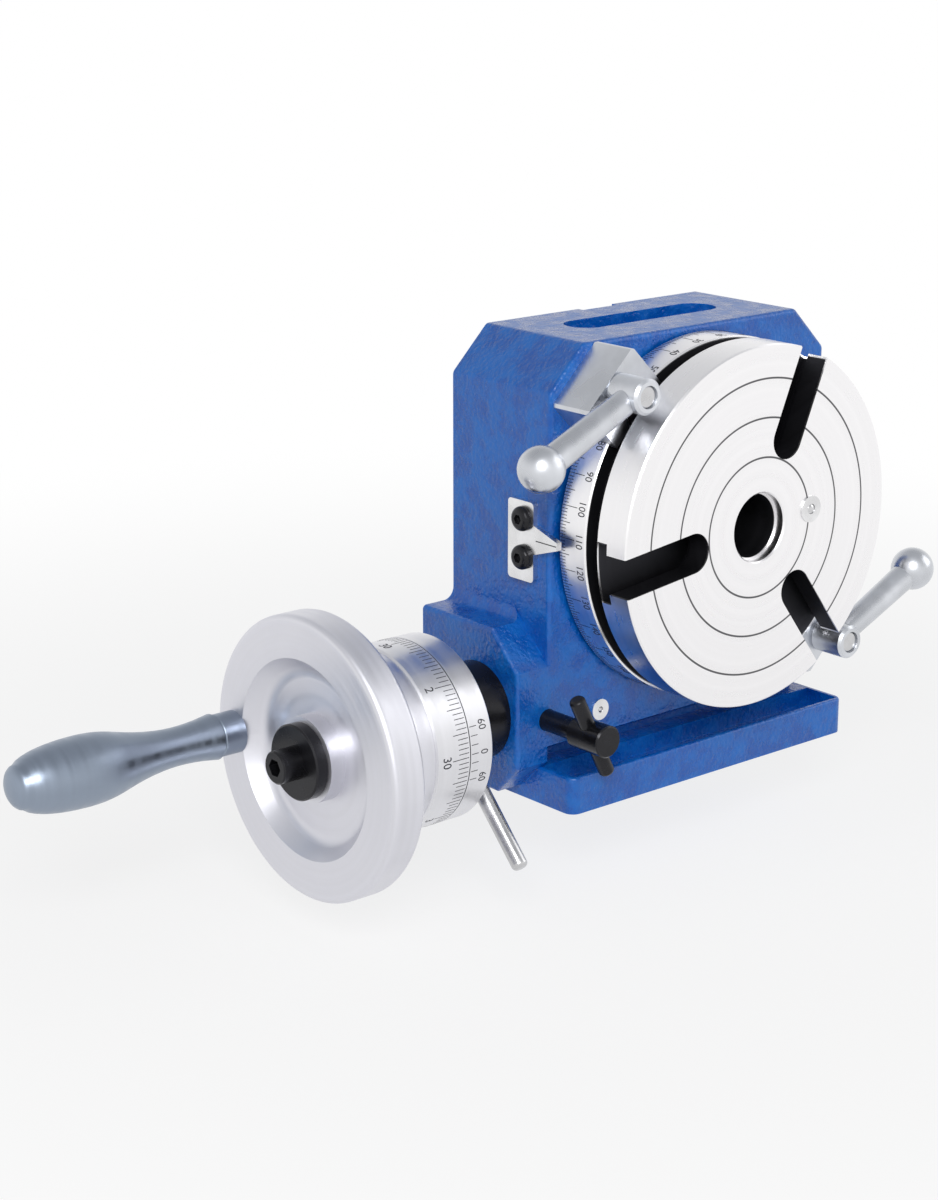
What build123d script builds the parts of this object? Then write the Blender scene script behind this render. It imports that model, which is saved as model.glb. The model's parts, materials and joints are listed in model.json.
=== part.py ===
from build123d import *

import os
from math import atan2, cos, degrees, pi, radians, sin, sqrt, tan

# A four-inch rotary table for horizontal and vertical work, standing on its vertical foot.
# Frame: +X runs along the worm from the handwheel, +Y from the work face to the rear base,
# +Z is up. X = 0 is the table's axis, Y = 0 the rear base, Z = 0 the foot's bottom.
# All sizes are millimetres.

os.makedirs("parts", exist_ok=True)

# Clearances
running_gap = 0.04
press_gap = 0.01
thread_gap = 0.05
face_gap = 0.1
cutter_overrun = 1.0

# Body casting
centre_height = 74.0
body_half_width = 52.5
body_height = 125.5
body_depth = 39.5
body_corner = 12.0
corner_round = 2.0
casting_round = 1.2
front_wall = 7.0
boss_margin = 1.5
boss_height = 0.9

# Foot, its clamping trough and the undercut above it
foot_ledge = 1.5
foot_depth = 51.3
foot_height = 10.4
foot_corner = 3.0
foot_round = 0.8
trough_end_lip = 1.5
trough_front_lip = 1.3
trough_back = 38.2
trough_depth = 5.0
undercut_depth = 8.0
undercut_height = 6.0
undercut_heel = 1.8
undercut_ramp = 4.0
undercut_slant = 0.4

# Clamping slot in the top face and keyway in the rear base
top_slot_length = 54.0
top_slot_width = 12.3
top_slot_depth = 6.0
top_slot_back = 12.5
keyway_width = 13.0
keyway_depth = 2.0

# Table plate
table_radius = 50.0
disc_thickness = 11.0
groove_width = 4.3
groove_depth = 4.0
scale_width = 10.2
edge_break = 0.4
pilot_radius = 9.5
pilot_depth = 3.0
taper_radius = 8.89
taper_rise = 0.02497
journal_radius = 28.0
shoulder_radius = 20.0
tail_radius = 17.0
tail_end = 1.5
slot_count = 3
slot_turn = 66.8
slot_neck_width = 11.0
slot_neck_depth = 7.0
slot_foot_width = 17.0
slot_foot_depth = 3.7
slot_end_radius = 25.0

# Worm gearing
gear_module = 0.9
wheel_teeth = 90
worm_pitch_radius = 8.0
pressure_angle = 20.0
flank_gap = 0.1
root_factor = 1.25
worm_setback = 13.5
wheel_clearance = 0.9
wheel_width = 10.0
wheel_boss_radius = 37.0
worm_turns = 12
thread_sink = 0.2
worm_core_half = 23.3
worm_shaft_radius = 6.0
worm_tail_radius = 5.0
worm_tail_length = 10.0

# Table bushes, rear cover and the screws behind the table
table_bush_wall = 3.0
cover_radius = 48.5
cover_thickness = 6.0
cover_recess = 2.2
rear_bush_wall = 3.0
cover_screw_count = 6
cover_screw_radius = 1.5
cover_head_radius = 2.6
cover_head_height = 2.4
cover_socket_radius = 1.2
cover_socket_depth = 1.2
cover_screw_length = 7.2
screw_hole_spare = 0.5
wheel_screw_count = 4
wheel_screw_radius = 2.0
wheel_screw_circle = 24.0
wheel_head_radius = 3.4
wheel_head_height = 3.6
wheel_socket_radius = 1.6
wheel_socket_depth = 1.8
wheel_screw_length = 15.0

# Worm housing and eccentric sleeve
housing_length = 11.0
housing_low = 3.5
housing_high = 49.5
housing_corner = 10.5
housing_low_corner = 8.5
housing_round = 1.2
housing_fillet = 3.5
sleeve_radius = 13.5
sleeve_throw = 2.5
sleeve_swing = 70.0
sleeve_right = 34.0
sleeve_reach = 18.4
sleeve_window_half = 23.5
sleeve_window_offset = 1.0
sleeve_window_angle = 60.0
sleeve_spigot_radius = 10.6
sleeve_spigot_length = 7.3
worm_bush_radius = 7.5
worm_bush_length = 14.0
worm_bore_gap = 0.25

# Stop screw of the sleeve, screwed in from below
stop_setback = 5.0
stop_radius = 2.5
stop_dog_radius = 1.5
stop_dog_length = 1.3
stop_dog_play = 0.3
stop_socket_across = 2.5
stop_socket_depth = 2.5

# Vernier ring, release pin and dial
dial_radius = 25.3
ring_chamfer = 0.5
vernier_width = 7.7
dial_width = 11.0
dial_gap = 0.3
hub_gap = 1.2
dial_seat_radius = 16.0
pin_setback = 4.9
pin_radius = 2.25
pin_reach = 45.0
pin_angle = 226.6
pin_seat = 3.4
pin_end_round = 1.35

# Handwheel
handwheel_radius = 38.0
handwheel_depth = 23.8
rim_width = 10.1
rim_round = 1.6
cone_large_radius = 28.0
cone_small_radius = 24.9
dish_radius = 26.8
dish_depth = 5.0
dish_round = 4.2
hub_boss_radius = 11.5
hub_boss_recess = 0.5
hub_seat_radius = 5.0
key_width = 3.0
key_height = 3.0
key_sunk = 1.8
key_length = 14.0
key_setback = 0.6
washer_radius = 10.1
washer_thickness = 3.4
cap_head_radius = 4.4
cap_head_height = 6.0
cap_shank_radius = 3.0
cap_screw_length = 16.0
cap_socket_across = 4.3
cap_socket_depth = 3.2
shaft_end_gap = 0.4

# Revolving handle
handle_offset = 30.0
collar_radius = 5.75
collar_length = 6.8
collar_round = 0.8
spindle_radius = 3.2
spindle_thread_radius = 3.0
spindle_thread_length = 8.0
spindle_head_radius = 4.2
spindle_head_length = 3.0
grip_gap = 0.4
grip_length = 61.6
grip_end_radius = 5.7
grip_neck_radius = 6.0
grip_neck_at = 22.0
grip_belly_radius = 10.0
grip_belly_at = 44.0
grip_wall_at_tip = 6.5
grip_tip_radius = 5.4
grip_tip_length = 1.6
grip_tip_lean = 0.55

# Index plate on the body's left side
plate_thickness = 1.7
plate_width = 10.2
plate_height = 22.0
plate_back = 24.9
plate_middle = 72.6
plate_corner = 1.2
pointer_reach = 9.2
pointer_root = 4.4
pointer_tip = 1.1
pointer_lift = 0.9
plate_screw_spacing = 10.6
plate_screw_depth = 31.1
plate_screw_radius = 2.0
plate_head_radius = 3.4
plate_head_height = 2.2
plate_head_round = 1.54
plate_screw_length = 8.0
plate_socket_across = 2.5
plate_socket_depth = 1.3

# Table clamps
clamp_angle = 135.0
clamp_axis_offset = 8.0
clamp_bite = 2.5
clamp_inner_gap = 0.5
clamp_outer_offset = 12.5
clamp_half_width = 11.0
clamp_height = 13.7
clamp_tongue_height = 2.3
clamp_chamfer = 0.8
stud_radius = 3.0
stud_depth = 11.0
stud_shortfall = 0.6
nut_radius = 4.8
nut_height = 11.2
nut_chamfer = 0.7
lever_height = 5.8
lever_turn = 70.0
lever_length = 35.3
lever_root_radius = 3.4
lever_end_radius = 4.0
lever_ball_radius = 6.2
lever_spigot_radius = 1.6
lever_spigot_sunk = 1.4

# Sleeve lock screw with its sliding bar
lock_setback = 11.0
lock_z = 24.0
lock_radius = 3.0
lock_head_radius = 4.4
lock_head_start = 12.0
lock_head_length = 12.0
lock_bar_radius = 2.2
lock_bar_length = 26.0
lock_bar_round = 1.1
lock_bar_from_head = 5.6
lock_bar_angle = -63.4
lock_tip_gap = 0.1

# Ball oilers
body_oiler_x = 33.2
body_oiler_z = 22.8
body_oiler_radius = 3.0
body_oiler_depth = 1.9
body_oiler_ball = 1.1
table_oiler_x = 20.0
table_oiler_z = 76.0
table_oiler_radius = 3.75
table_oiler_depth = 4.4
table_oiler_ball = 1.8
oiler_proud = 0.4
oiler_lip = 0.3
oiler_mouth = 0.8
oil_hole_radius = 0.7

# Places along Y, from the front face back
worm_y = -(body_depth - worm_setback)
body_front = -body_depth
boss_front = body_front - boss_height
wall_back = body_front + front_wall
scale_back = boss_front - face_gap
scale_front = scale_back - scale_width
disc_back = scale_front - groove_width
face_front = disc_back - disc_thickness
journal_end = wall_back + face_gap
wheel_front = worm_y - wheel_width / 2
wheel_back = worm_y + wheel_width / 2
cover_back = -cover_recess
cover_front = cover_back - cover_thickness
table_end = -tail_end

# Gearing and the axes that follow from it
wheel_pitch_radius = gear_module * wheel_teeth / 2
wheel_tip_radius = wheel_pitch_radius + gear_module
wheel_root_radius = wheel_pitch_radius - root_factor * gear_module
worm_tip_radius = worm_pitch_radius + gear_module
worm_root_radius = worm_pitch_radius - root_factor * gear_module
worm_lead = pi * gear_module
lead_slope = worm_lead / (2 * pi * worm_pitch_radius)
flank_slope = tan(radians(pressure_angle))
worm_z = centre_height - wheel_pitch_radius - worm_pitch_radius
sleeve_y = worm_y + sleeve_throw
sleeve_z = worm_z
cavity_radius = wheel_tip_radius + wheel_clearance
cover_screw_circle = (cavity_radius + cover_radius) / 2

# Places along X, counted to the left from the table's axis
foot_half_width = body_half_width + foot_ledge
housing_left = body_half_width + housing_length
sleeve_left = housing_left + sleeve_reach
stop_x = housing_left - stop_setback
lock_x = housing_left - lock_setback
pin_x = sleeve_left - pin_setback
spigot_left = sleeve_left + sleeve_spigot_length
vernier_left = sleeve_left + vernier_width
dial_right = vernier_left + dial_gap
dial_left = dial_right + dial_width
handwheel_face = dial_left + handwheel_depth
key_end = dial_left + key_setback
hub_right = spigot_left + hub_gap
hub_shoulder = dial_left + face_gap
rim_right = handwheel_face - rim_width
boss_left = handwheel_face - hub_boss_recess
shaft_left = boss_left - shaft_end_gap
washer_left = boss_left + washer_thickness
worm_bore_radius = worm_tip_radius + worm_bore_gap

# Handle's places
handle_y = worm_y + handle_offset
handle_z = worm_z
collar_left = handwheel_face + collar_length
grip_right = collar_left + grip_gap
grip_left = grip_right + grip_length
spindle_left = grip_left - grip_wall_at_tip

# Clamps' places
boss_radius = table_radius - boss_margin
clamp_axis_radius = table_radius + clamp_axis_offset
clamp_tongue_radius = table_radius - clamp_bite
clamp_outer_radius = table_radius + clamp_outer_offset
clamp_inner_radius = table_radius + clamp_inner_gap
clamp_front = body_front - clamp_height
tongue_back = clamp_front + clamp_tongue_height
nut_front = clamp_front - nut_height
lever_y = clamp_front - lever_height

# Axes of turning
table_axis = Axis((0, 0, centre_height), (0, 1, 0))
worm_axis = Axis((0, worm_y, worm_z), (1, 0, 0))
sleeve_axis = Axis((0, sleeve_y, sleeve_z), (1, 0, 0))
handle_axis = Axis((0, handle_y, handle_z), (1, 0, 0))

# Planes that hold a half profile: local x is along X, local y along Y or away from the axis
table_profile = Plane(origin=(0, 0, centre_height), x_dir=(1, 0, 0), z_dir=(0, 0, 1))
worm_profile = Plane(origin=(0, worm_y, worm_z), x_dir=(1, 0, 0), z_dir=(0, 0, 1))
handle_profile = Plane(origin=(0, handle_y, handle_z), x_dir=(1, 0, 0), z_dir=(0, 0, 1))


def front_view(y, x=0.0, z=centre_height):
    """Plane facing the operator: local x right, local y up, extrudes to the front."""
    return Plane(origin=(x, y, z), x_dir=(1, 0, 0), z_dir=(0, -1, 0))


def side_view(x, y=0.0, z=0.0):
    """Plane across the worm: local x to the rear, local y up, extrudes to the right."""
    return Plane(origin=(x, y, z), x_dir=(0, 1, 0), z_dir=(1, 0, 0))


def polar(radius, angle):
    """Point at an angle round a plane's origin."""
    return (radius * cos(radians(angle)), radius * sin(radians(angle)))


def save(builder, name):
    """Label a finished piece and write its file."""
    builder.part.label = name
    export_step(builder.part, f"parts/{name}.step")


# Points shared by the pieces that meet on the body
clamp_points = [polar(clamp_axis_radius, clamp_angle), polar(clamp_axis_radius, clamp_angle + 180)]
plate_screw_points = [
    (-plate_screw_depth, plate_middle + pointer_lift + plate_screw_spacing / 2),
    (-plate_screw_depth, plate_middle + pointer_lift - plate_screw_spacing / 2),
]

# Body casting: plate, foot and worm housing in one piece
with BuildPart() as body_casting:
    with BuildSketch(front_view(0, 0, 0)):
        with BuildLine():
            Polyline(
                (-body_half_width, 0),
                (body_half_width, 0),
                (body_half_width, body_height - body_corner),
                (body_half_width - body_corner, body_height),
                (-body_half_width + body_corner, body_height),
                (-body_half_width, body_height - body_corner),
                close=True,
            )
        make_face()
    extrude(amount=body_depth)
    fillet(body_casting.edges().filter_by(Axis.Y).filter_by(lambda e: e.center().Z > foot_height), corner_round)
    front_rim = body_casting.faces().sort_by(Axis.Y)[0].edges()
    fillet(front_rim.filter_by(lambda e: e.center().Z > 1), casting_round)
    # Foot
    with BuildSketch(Plane.XY) as foot_outline:
        with Locations((0, -foot_depth / 2)):
            Rectangle(2 * foot_half_width, foot_depth)
        fillet(foot_outline.vertices().group_by(Axis.Y)[0], foot_corner)
    extrude(amount=foot_height)
    foot_top = body_casting.edges().filter_by(Axis.X).filter_by(
        lambda e: abs(e.center().Y + foot_depth) < 0.01 and e.center().Z > 1
    )
    fillet(foot_top, foot_round)
    # Worm housing
    with BuildSketch(side_view(-housing_left)):
        with BuildLine():
            Polyline(
                (0, housing_low),
                (0, housing_high),
                (-body_depth + housing_corner, housing_high),
                (-body_depth, housing_high - housing_corner),
                (-body_depth, housing_low + housing_low_corner),
                (-body_depth + housing_low_corner, housing_low),
                close=True,
            )
        make_face()
    extrude(amount=housing_left - body_half_width + 2 * casting_round)
    housing_face = body_casting.faces().sort_by(Axis.X)[0]
    fillet(housing_face.edges().filter_by(lambda e: e.center().Y < -1), housing_round)
    housing_root = body_casting.edges().filter_by(Axis.Y).filter_by(
        lambda e: abs(e.center().X + body_half_width) < 0.01 and abs(e.center().Z - housing_high) < 0.01
    )
    fillet(housing_root, housing_fillet)
    # Undercut and clamping trough of the foot
    with BuildSketch(side_view(-body_half_width)):
        with BuildLine():
            Polyline(
                (-foot_depth, foot_height),
                (-body_depth + undercut_depth, foot_height),
                (-body_depth + undercut_depth, foot_height + undercut_heel),
                (-body_depth + undercut_ramp, foot_height + undercut_height - undercut_slant),
                (-body_depth, foot_height + undercut_height),
                (-foot_depth, foot_height + undercut_height),
                close=True,
            )
        make_face()
    extrude(amount=2 * body_half_width, mode=Mode.SUBTRACT)
    with BuildSketch(Plane.XY.offset(foot_height)):
        with Locations((0, -(foot_depth - trough_front_lip + trough_back) / 2)):
            Rectangle(2 * (foot_half_width - trough_end_lip), foot_depth - trough_front_lip - trough_back)
    extrude(amount=-trough_depth, mode=Mode.SUBTRACT)
    # Clamping slot in the top face
    with BuildSketch(Plane.XY.offset(body_height)):
        with Locations((0, -top_slot_back - top_slot_width / 2)):
            SlotOverall(top_slot_length, top_slot_width)
    extrude(amount=-top_slot_depth, mode=Mode.SUBTRACT)
    # Thrust face and bore for the table's front bush
    with BuildSketch(front_view(body_front)):
        Circle(boss_radius)
    extrude(amount=boss_height)
    with BuildSketch(front_view(wall_back)):
        Circle(journal_radius + table_bush_wall)
    extrude(amount=front_wall + boss_height, mode=Mode.SUBTRACT)
    # Wheel chamber, open to the rear, and the seat of its cover
    with BuildSketch(front_view(0)):
        Circle(cavity_radius)
    extrude(amount=body_depth - front_wall, mode=Mode.SUBTRACT)
    with BuildSketch(front_view(0)):
        Circle(cover_radius + running_gap)
    extrude(amount=cover_recess + cover_thickness, mode=Mode.SUBTRACT)
    with BuildSketch(front_view(cover_front)):
        with PolarLocations(cover_screw_circle, cover_screw_count):
            Circle(cover_screw_radius + thread_gap)
    extrude(amount=cover_screw_length + cover_head_height - cover_thickness + screw_hole_spare, mode=Mode.SUBTRACT)
    # Locating keyway down the rear base
    with BuildSketch(Plane.XY):
        Rectangle(keyway_width, 2 * keyway_depth)
    extrude(amount=body_height, mode=Mode.SUBTRACT)
    # Bore for the eccentric sleeve, the lock screw and the stop screw
    with BuildSketch(side_view(-housing_left, sleeve_y, sleeve_z)):
        Circle(sleeve_radius + running_gap)
    extrude(amount=housing_left + sleeve_right + face_gap, mode=Mode.SUBTRACT)
    with BuildSketch(front_view(body_front, -lock_x, lock_z)):
        Circle(lock_radius + thread_gap)
    extrude(amount=-(body_depth + sleeve_y), mode=Mode.SUBTRACT)
    with BuildSketch(Plane.XY):
        with Locations((-stop_x, sleeve_y)):
            Circle(stop_radius + thread_gap)
    extrude(amount=sleeve_z, mode=Mode.SUBTRACT)
    # Holes for the clamp studs, the index plate and the oiler
    with BuildSketch(front_view(body_front)):
        with Locations(*clamp_points):
            Circle(stud_radius + thread_gap)
    extrude(amount=-stud_depth - face_gap, mode=Mode.SUBTRACT)
    with BuildSketch(side_view(-body_half_width)):
        with Locations(*plate_screw_points):
            Circle(plate_screw_radius + thread_gap)
    extrude(amount=plate_screw_length - plate_thickness + screw_hole_spare, mode=Mode.SUBTRACT)
    with BuildSketch(front_view(body_front, -body_oiler_x, body_oiler_z)):
        Circle(body_oiler_radius + press_gap)
    extrude(amount=-body_oiler_depth, mode=Mode.SUBTRACT)
    with BuildSketch(front_view(body_front, -body_oiler_x, body_oiler_z)):
        Circle(oil_hole_radius)
    extrude(amount=-(body_depth + sleeve_y), mode=Mode.SUBTRACT)
save(body_casting, "body_casting")

# Front bush of the table, flush with the thrust face
with BuildPart() as table_bush:
    with BuildSketch(front_view(wall_back)):
        Circle(journal_radius + table_bush_wall - press_gap)
        Circle(journal_radius + running_gap, mode=Mode.SUBTRACT)
    extrude(amount=front_wall + boss_height)
save(table_bush, "table_bush")

# Cover that closes the wheel chamber at the rear
with BuildPart() as rear_cover:
    with BuildSketch(front_view(cover_back)):
        Circle(cover_radius)
        Circle(tail_radius + rear_bush_wall, mode=Mode.SUBTRACT)
    extrude(amount=cover_thickness)
    with BuildSketch(front_view(cover_back)):
        with PolarLocations(cover_screw_circle, cover_screw_count):
            Circle(cover_head_radius + thread_gap)
    extrude(amount=cover_head_height, mode=Mode.SUBTRACT)
    with BuildSketch(front_view(cover_back)):
        with PolarLocations(cover_screw_circle, cover_screw_count):
            Circle(cover_screw_radius + thread_gap)
    extrude(amount=cover_thickness, mode=Mode.SUBTRACT)
save(rear_cover, "rear_cover")

with BuildPart() as rear_cover_screws:
    with BuildSketch(front_view(cover_back)):
        with PolarLocations(cover_screw_circle, cover_screw_count):
            Circle(cover_head_radius)
    extrude(amount=cover_head_height)
    with BuildSketch(front_view(cover_back - cover_head_height)):
        with PolarLocations(cover_screw_circle, cover_screw_count):
            Circle(cover_screw_radius)
    extrude(amount=cover_screw_length)
    with BuildSketch(front_view(cover_back)):
        with PolarLocations(cover_screw_circle, cover_screw_count):
            RegularPolygon(cover_socket_radius, 6)
    extrude(amount=cover_socket_depth, mode=Mode.SUBTRACT)
save(rear_cover_screws, "rear_cover_screws")

with BuildPart() as rear_bush:
    with BuildSketch(front_view(cover_back)):
        Circle(tail_radius + rear_bush_wall - press_gap)
        Circle(tail_radius + running_gap, mode=Mode.SUBTRACT)
    extrude(amount=cover_thickness)
save(rear_bush, "rear_bush")

# Table plate: slotted disc, clamping groove, graduated ring, journal and tail in one turning
taper_end_radius = taper_radius - taper_rise * (table_end - face_front - pilot_depth)
with BuildPart() as table_plate:
    with BuildSketch(table_profile):
        with BuildLine():
            Polyline(
                (pilot_radius, face_front),
                (table_radius, face_front),
                (table_radius, disc_back),
                (table_radius - groove_depth, disc_back),
                (table_radius - groove_depth, scale_front),
                (table_radius, scale_front),
                (table_radius, scale_back),
                (journal_radius, scale_back),
                (journal_radius, journal_end),
                (shoulder_radius, journal_end),
                (shoulder_radius, wheel_back),
                (tail_radius, wheel_back),
                (tail_radius, table_end),
                (taper_end_radius, table_end),
                (taper_radius, face_front + pilot_depth),
                (pilot_radius, face_front + pilot_depth),
                close=True,
            )
        make_face()
    revolve(axis=table_axis)
    rim_edges = table_plate.edges().filter_by(GeomType.CIRCLE).filter_by(
        lambda e: abs(e.radius - table_radius) < 0.01
    )
    chamfer(rim_edges, edge_break)
    mouth_edge = table_plate.edges().filter_by(GeomType.CIRCLE).filter_by(
        lambda e: abs(e.radius - pilot_radius) < 0.01
    ).sort_by(Axis.Y)[0]
    chamfer(mouth_edge, edge_break)
    slot_reach = table_radius - slot_end_radius + 2 * cutter_overrun
    with BuildSketch(front_view(face_front)):
        with PolarLocations(slot_end_radius, slot_count, start_angle=slot_turn):
            Circle(slot_neck_width / 2)
            Rectangle(slot_reach, slot_neck_width, align=(Align.MIN, Align.CENTER))
    extrude(amount=-slot_neck_depth, mode=Mode.SUBTRACT)
    with BuildSketch(front_view(face_front + slot_neck_depth)):
        with PolarLocations(slot_end_radius, slot_count, start_angle=slot_turn):
            Circle(slot_foot_width / 2)
            Rectangle(slot_reach, slot_foot_width, align=(Align.MIN, Align.CENTER))
    extrude(amount=-slot_foot_depth, mode=Mode.SUBTRACT)
    with BuildSketch(front_view(face_front, table_oiler_x, table_oiler_z)):
        Circle(table_oiler_radius + press_gap)
    extrude(amount=-table_oiler_depth, mode=Mode.SUBTRACT)
    with BuildSketch(front_view(face_front, table_oiler_x, table_oiler_z)):
        Circle(oil_hole_radius)
    extrude(amount=-(journal_end - face_front), mode=Mode.SUBTRACT)
    with BuildSketch(front_view(journal_end)):
        with PolarLocations(wheel_screw_circle, wheel_screw_count, start_angle=slot_turn):
            Circle(wheel_screw_radius + thread_gap)
    extrude(amount=wheel_screw_length + wheel_head_height - (wheel_back - journal_end) + screw_hole_spare,
            mode=Mode.SUBTRACT)
save(table_plate, "table_plate")

# Worm wheel: straight gashes turned to the worm's lead angle, one gap under the table's axis
gap_half_pitch = worm_lead / 4 + flank_gap / 2
gap_root = gap_half_pitch - (wheel_pitch_radius - wheel_root_radius) * flank_slope
gap_mouth_radius = wheel_tip_radius + cutter_overrun
gap_mouth = gap_half_pitch + (gap_mouth_radius - wheel_pitch_radius) * flank_slope
gash_run = wheel_width + 2 * cutter_overrun
gash_shift = gash_run * lead_slope
with BuildPart() as tooth_gash:
    with BuildSketch(front_view(wheel_back + cutter_overrun)):
        with BuildLine():
            Polyline(
                (-gash_shift / 2 - gap_mouth, -gap_mouth_radius),
                (-gash_shift / 2 + gap_mouth, -gap_mouth_radius),
                (-gash_shift / 2 + gap_root, -wheel_root_radius),
                (-gash_shift / 2 - gap_root, -wheel_root_radius),
                close=True,
            )
        make_face()
    extrude(amount=gash_run, dir=(lead_slope, -1, 0))

with BuildPart() as worm_wheel:
    with BuildSketch(table_profile):
        with BuildLine():
            Polyline(
                (shoulder_radius + press_gap, journal_end),
                (wheel_boss_radius, journal_end),
                (wheel_boss_radius, wheel_front),
                (wheel_tip_radius, wheel_front),
                (wheel_tip_radius, wheel_back),
                (shoulder_radius + press_gap, wheel_back),
                close=True,
            )
        make_face()
    revolve(axis=table_axis)
    gashes = [tooth_gash.part.rotate(table_axis, 360 / wheel_teeth * index) for index in range(wheel_teeth)]
    add(gashes, mode=Mode.SUBTRACT)
    with BuildSketch(front_view(wheel_back)):
        with PolarLocations(wheel_screw_circle, wheel_screw_count, start_angle=slot_turn):
            Circle(wheel_head_radius + thread_gap)
    extrude(amount=wheel_head_height, mode=Mode.SUBTRACT)
    with BuildSketch(front_view(wheel_back)):
        with PolarLocations(wheel_screw_circle, wheel_screw_count, start_angle=slot_turn):
            Circle(wheel_screw_radius + thread_gap)
    extrude(amount=wheel_back - journal_end, mode=Mode.SUBTRACT)
save(worm_wheel, "worm_wheel")

with BuildPart() as worm_wheel_screws:
    with BuildSketch(front_view(wheel_back)):
        with PolarLocations(wheel_screw_circle, wheel_screw_count, start_angle=slot_turn):
            Circle(wheel_head_radius)
    extrude(amount=wheel_head_height)
    with BuildSketch(front_view(wheel_back - wheel_head_height)):
        with PolarLocations(wheel_screw_circle, wheel_screw_count, start_angle=slot_turn):
            Circle(wheel_screw_radius)
    extrude(amount=wheel_screw_length)
    with BuildSketch(front_view(wheel_back)):
        with PolarLocations(wheel_screw_circle, wheel_screw_count, start_angle=slot_turn):
            RegularPolygon(wheel_socket_radius, 6)
    extrude(amount=wheel_socket_depth, mode=Mode.SUBTRACT)
save(worm_wheel_screws, "worm_wheel_screws")

# Worm shaft: the thread crosses X = 0 on top, where the wheel has a gap
thread_root = worm_root_radius - thread_sink
thread_height = worm_tip_radius - thread_root
ridge_half_pitch = worm_lead / 4 - flank_gap / 2
ridge_root = ridge_half_pitch + (worm_pitch_radius - thread_root) * flank_slope
ridge_tip = ridge_half_pitch - (worm_tip_radius - worm_pitch_radius) * flank_slope
thread_half = worm_lead * worm_turns / 2
thread_start = Vector(-thread_half, worm_y, worm_z)
with BuildPart() as worm_thread:
    with BuildLine() as thread_path:
        Helix(worm_lead, 2 * thread_half, thread_root, center=thread_start, direction=(1, 0, 0))
    outward = ((thread_path.line @ 0) - thread_start).normalized()
    with BuildSketch(Plane(thread_path.line @ 0, x_dir=outward, z_dir=outward.cross(Vector(1, 0, 0)))):
        with BuildLine():
            Polyline(
                (0, -ridge_root),
                (thread_height, -ridge_tip),
                (thread_height, ridge_tip),
                (0, ridge_root),
                close=True,
            )
        make_face()
    sweep(path=thread_path.line, is_frenet=True)
    with BuildSketch(side_view(-thread_half + worm_lead / 2, worm_y, worm_z)):
        Circle(worm_tip_radius + cutter_overrun)
    extrude(amount=2 * thread_half - worm_lead, mode=Mode.INTERSECT)

with BuildPart() as worm_shaft:
    with BuildSketch(worm_profile):
        with BuildLine():
            Polyline(
                (worm_core_half + worm_tail_length, 0),
                (worm_core_half + worm_tail_length, worm_tail_radius),
                (worm_core_half, worm_tail_radius),
                (worm_core_half, worm_root_radius),
                (-worm_core_half, worm_root_radius),
                (-worm_core_half, worm_shaft_radius),
                (-hub_right, worm_shaft_radius),
                (-hub_right, hub_seat_radius - press_gap),
                (-shaft_left, hub_seat_radius - press_gap),
                (-shaft_left, 0),
                close=True,
            )
        make_face()
    revolve(axis=worm_axis)
    add(worm_thread.part)
    with BuildSketch(side_view(-shaft_left, worm_y, worm_z)):
        Circle(cap_shank_radius + thread_gap)
    extrude(amount=cap_screw_length, mode=Mode.SUBTRACT)
    with BuildSketch(side_view(-key_end - key_length, worm_y, worm_z + hub_seat_radius - key_sunk)):
        Rectangle(key_width + 2 * press_gap, key_sunk + cutter_overrun, align=(Align.CENTER, Align.MIN))
    extrude(amount=key_length, mode=Mode.SUBTRACT)
save(worm_shaft, "worm_shaft")

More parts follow.
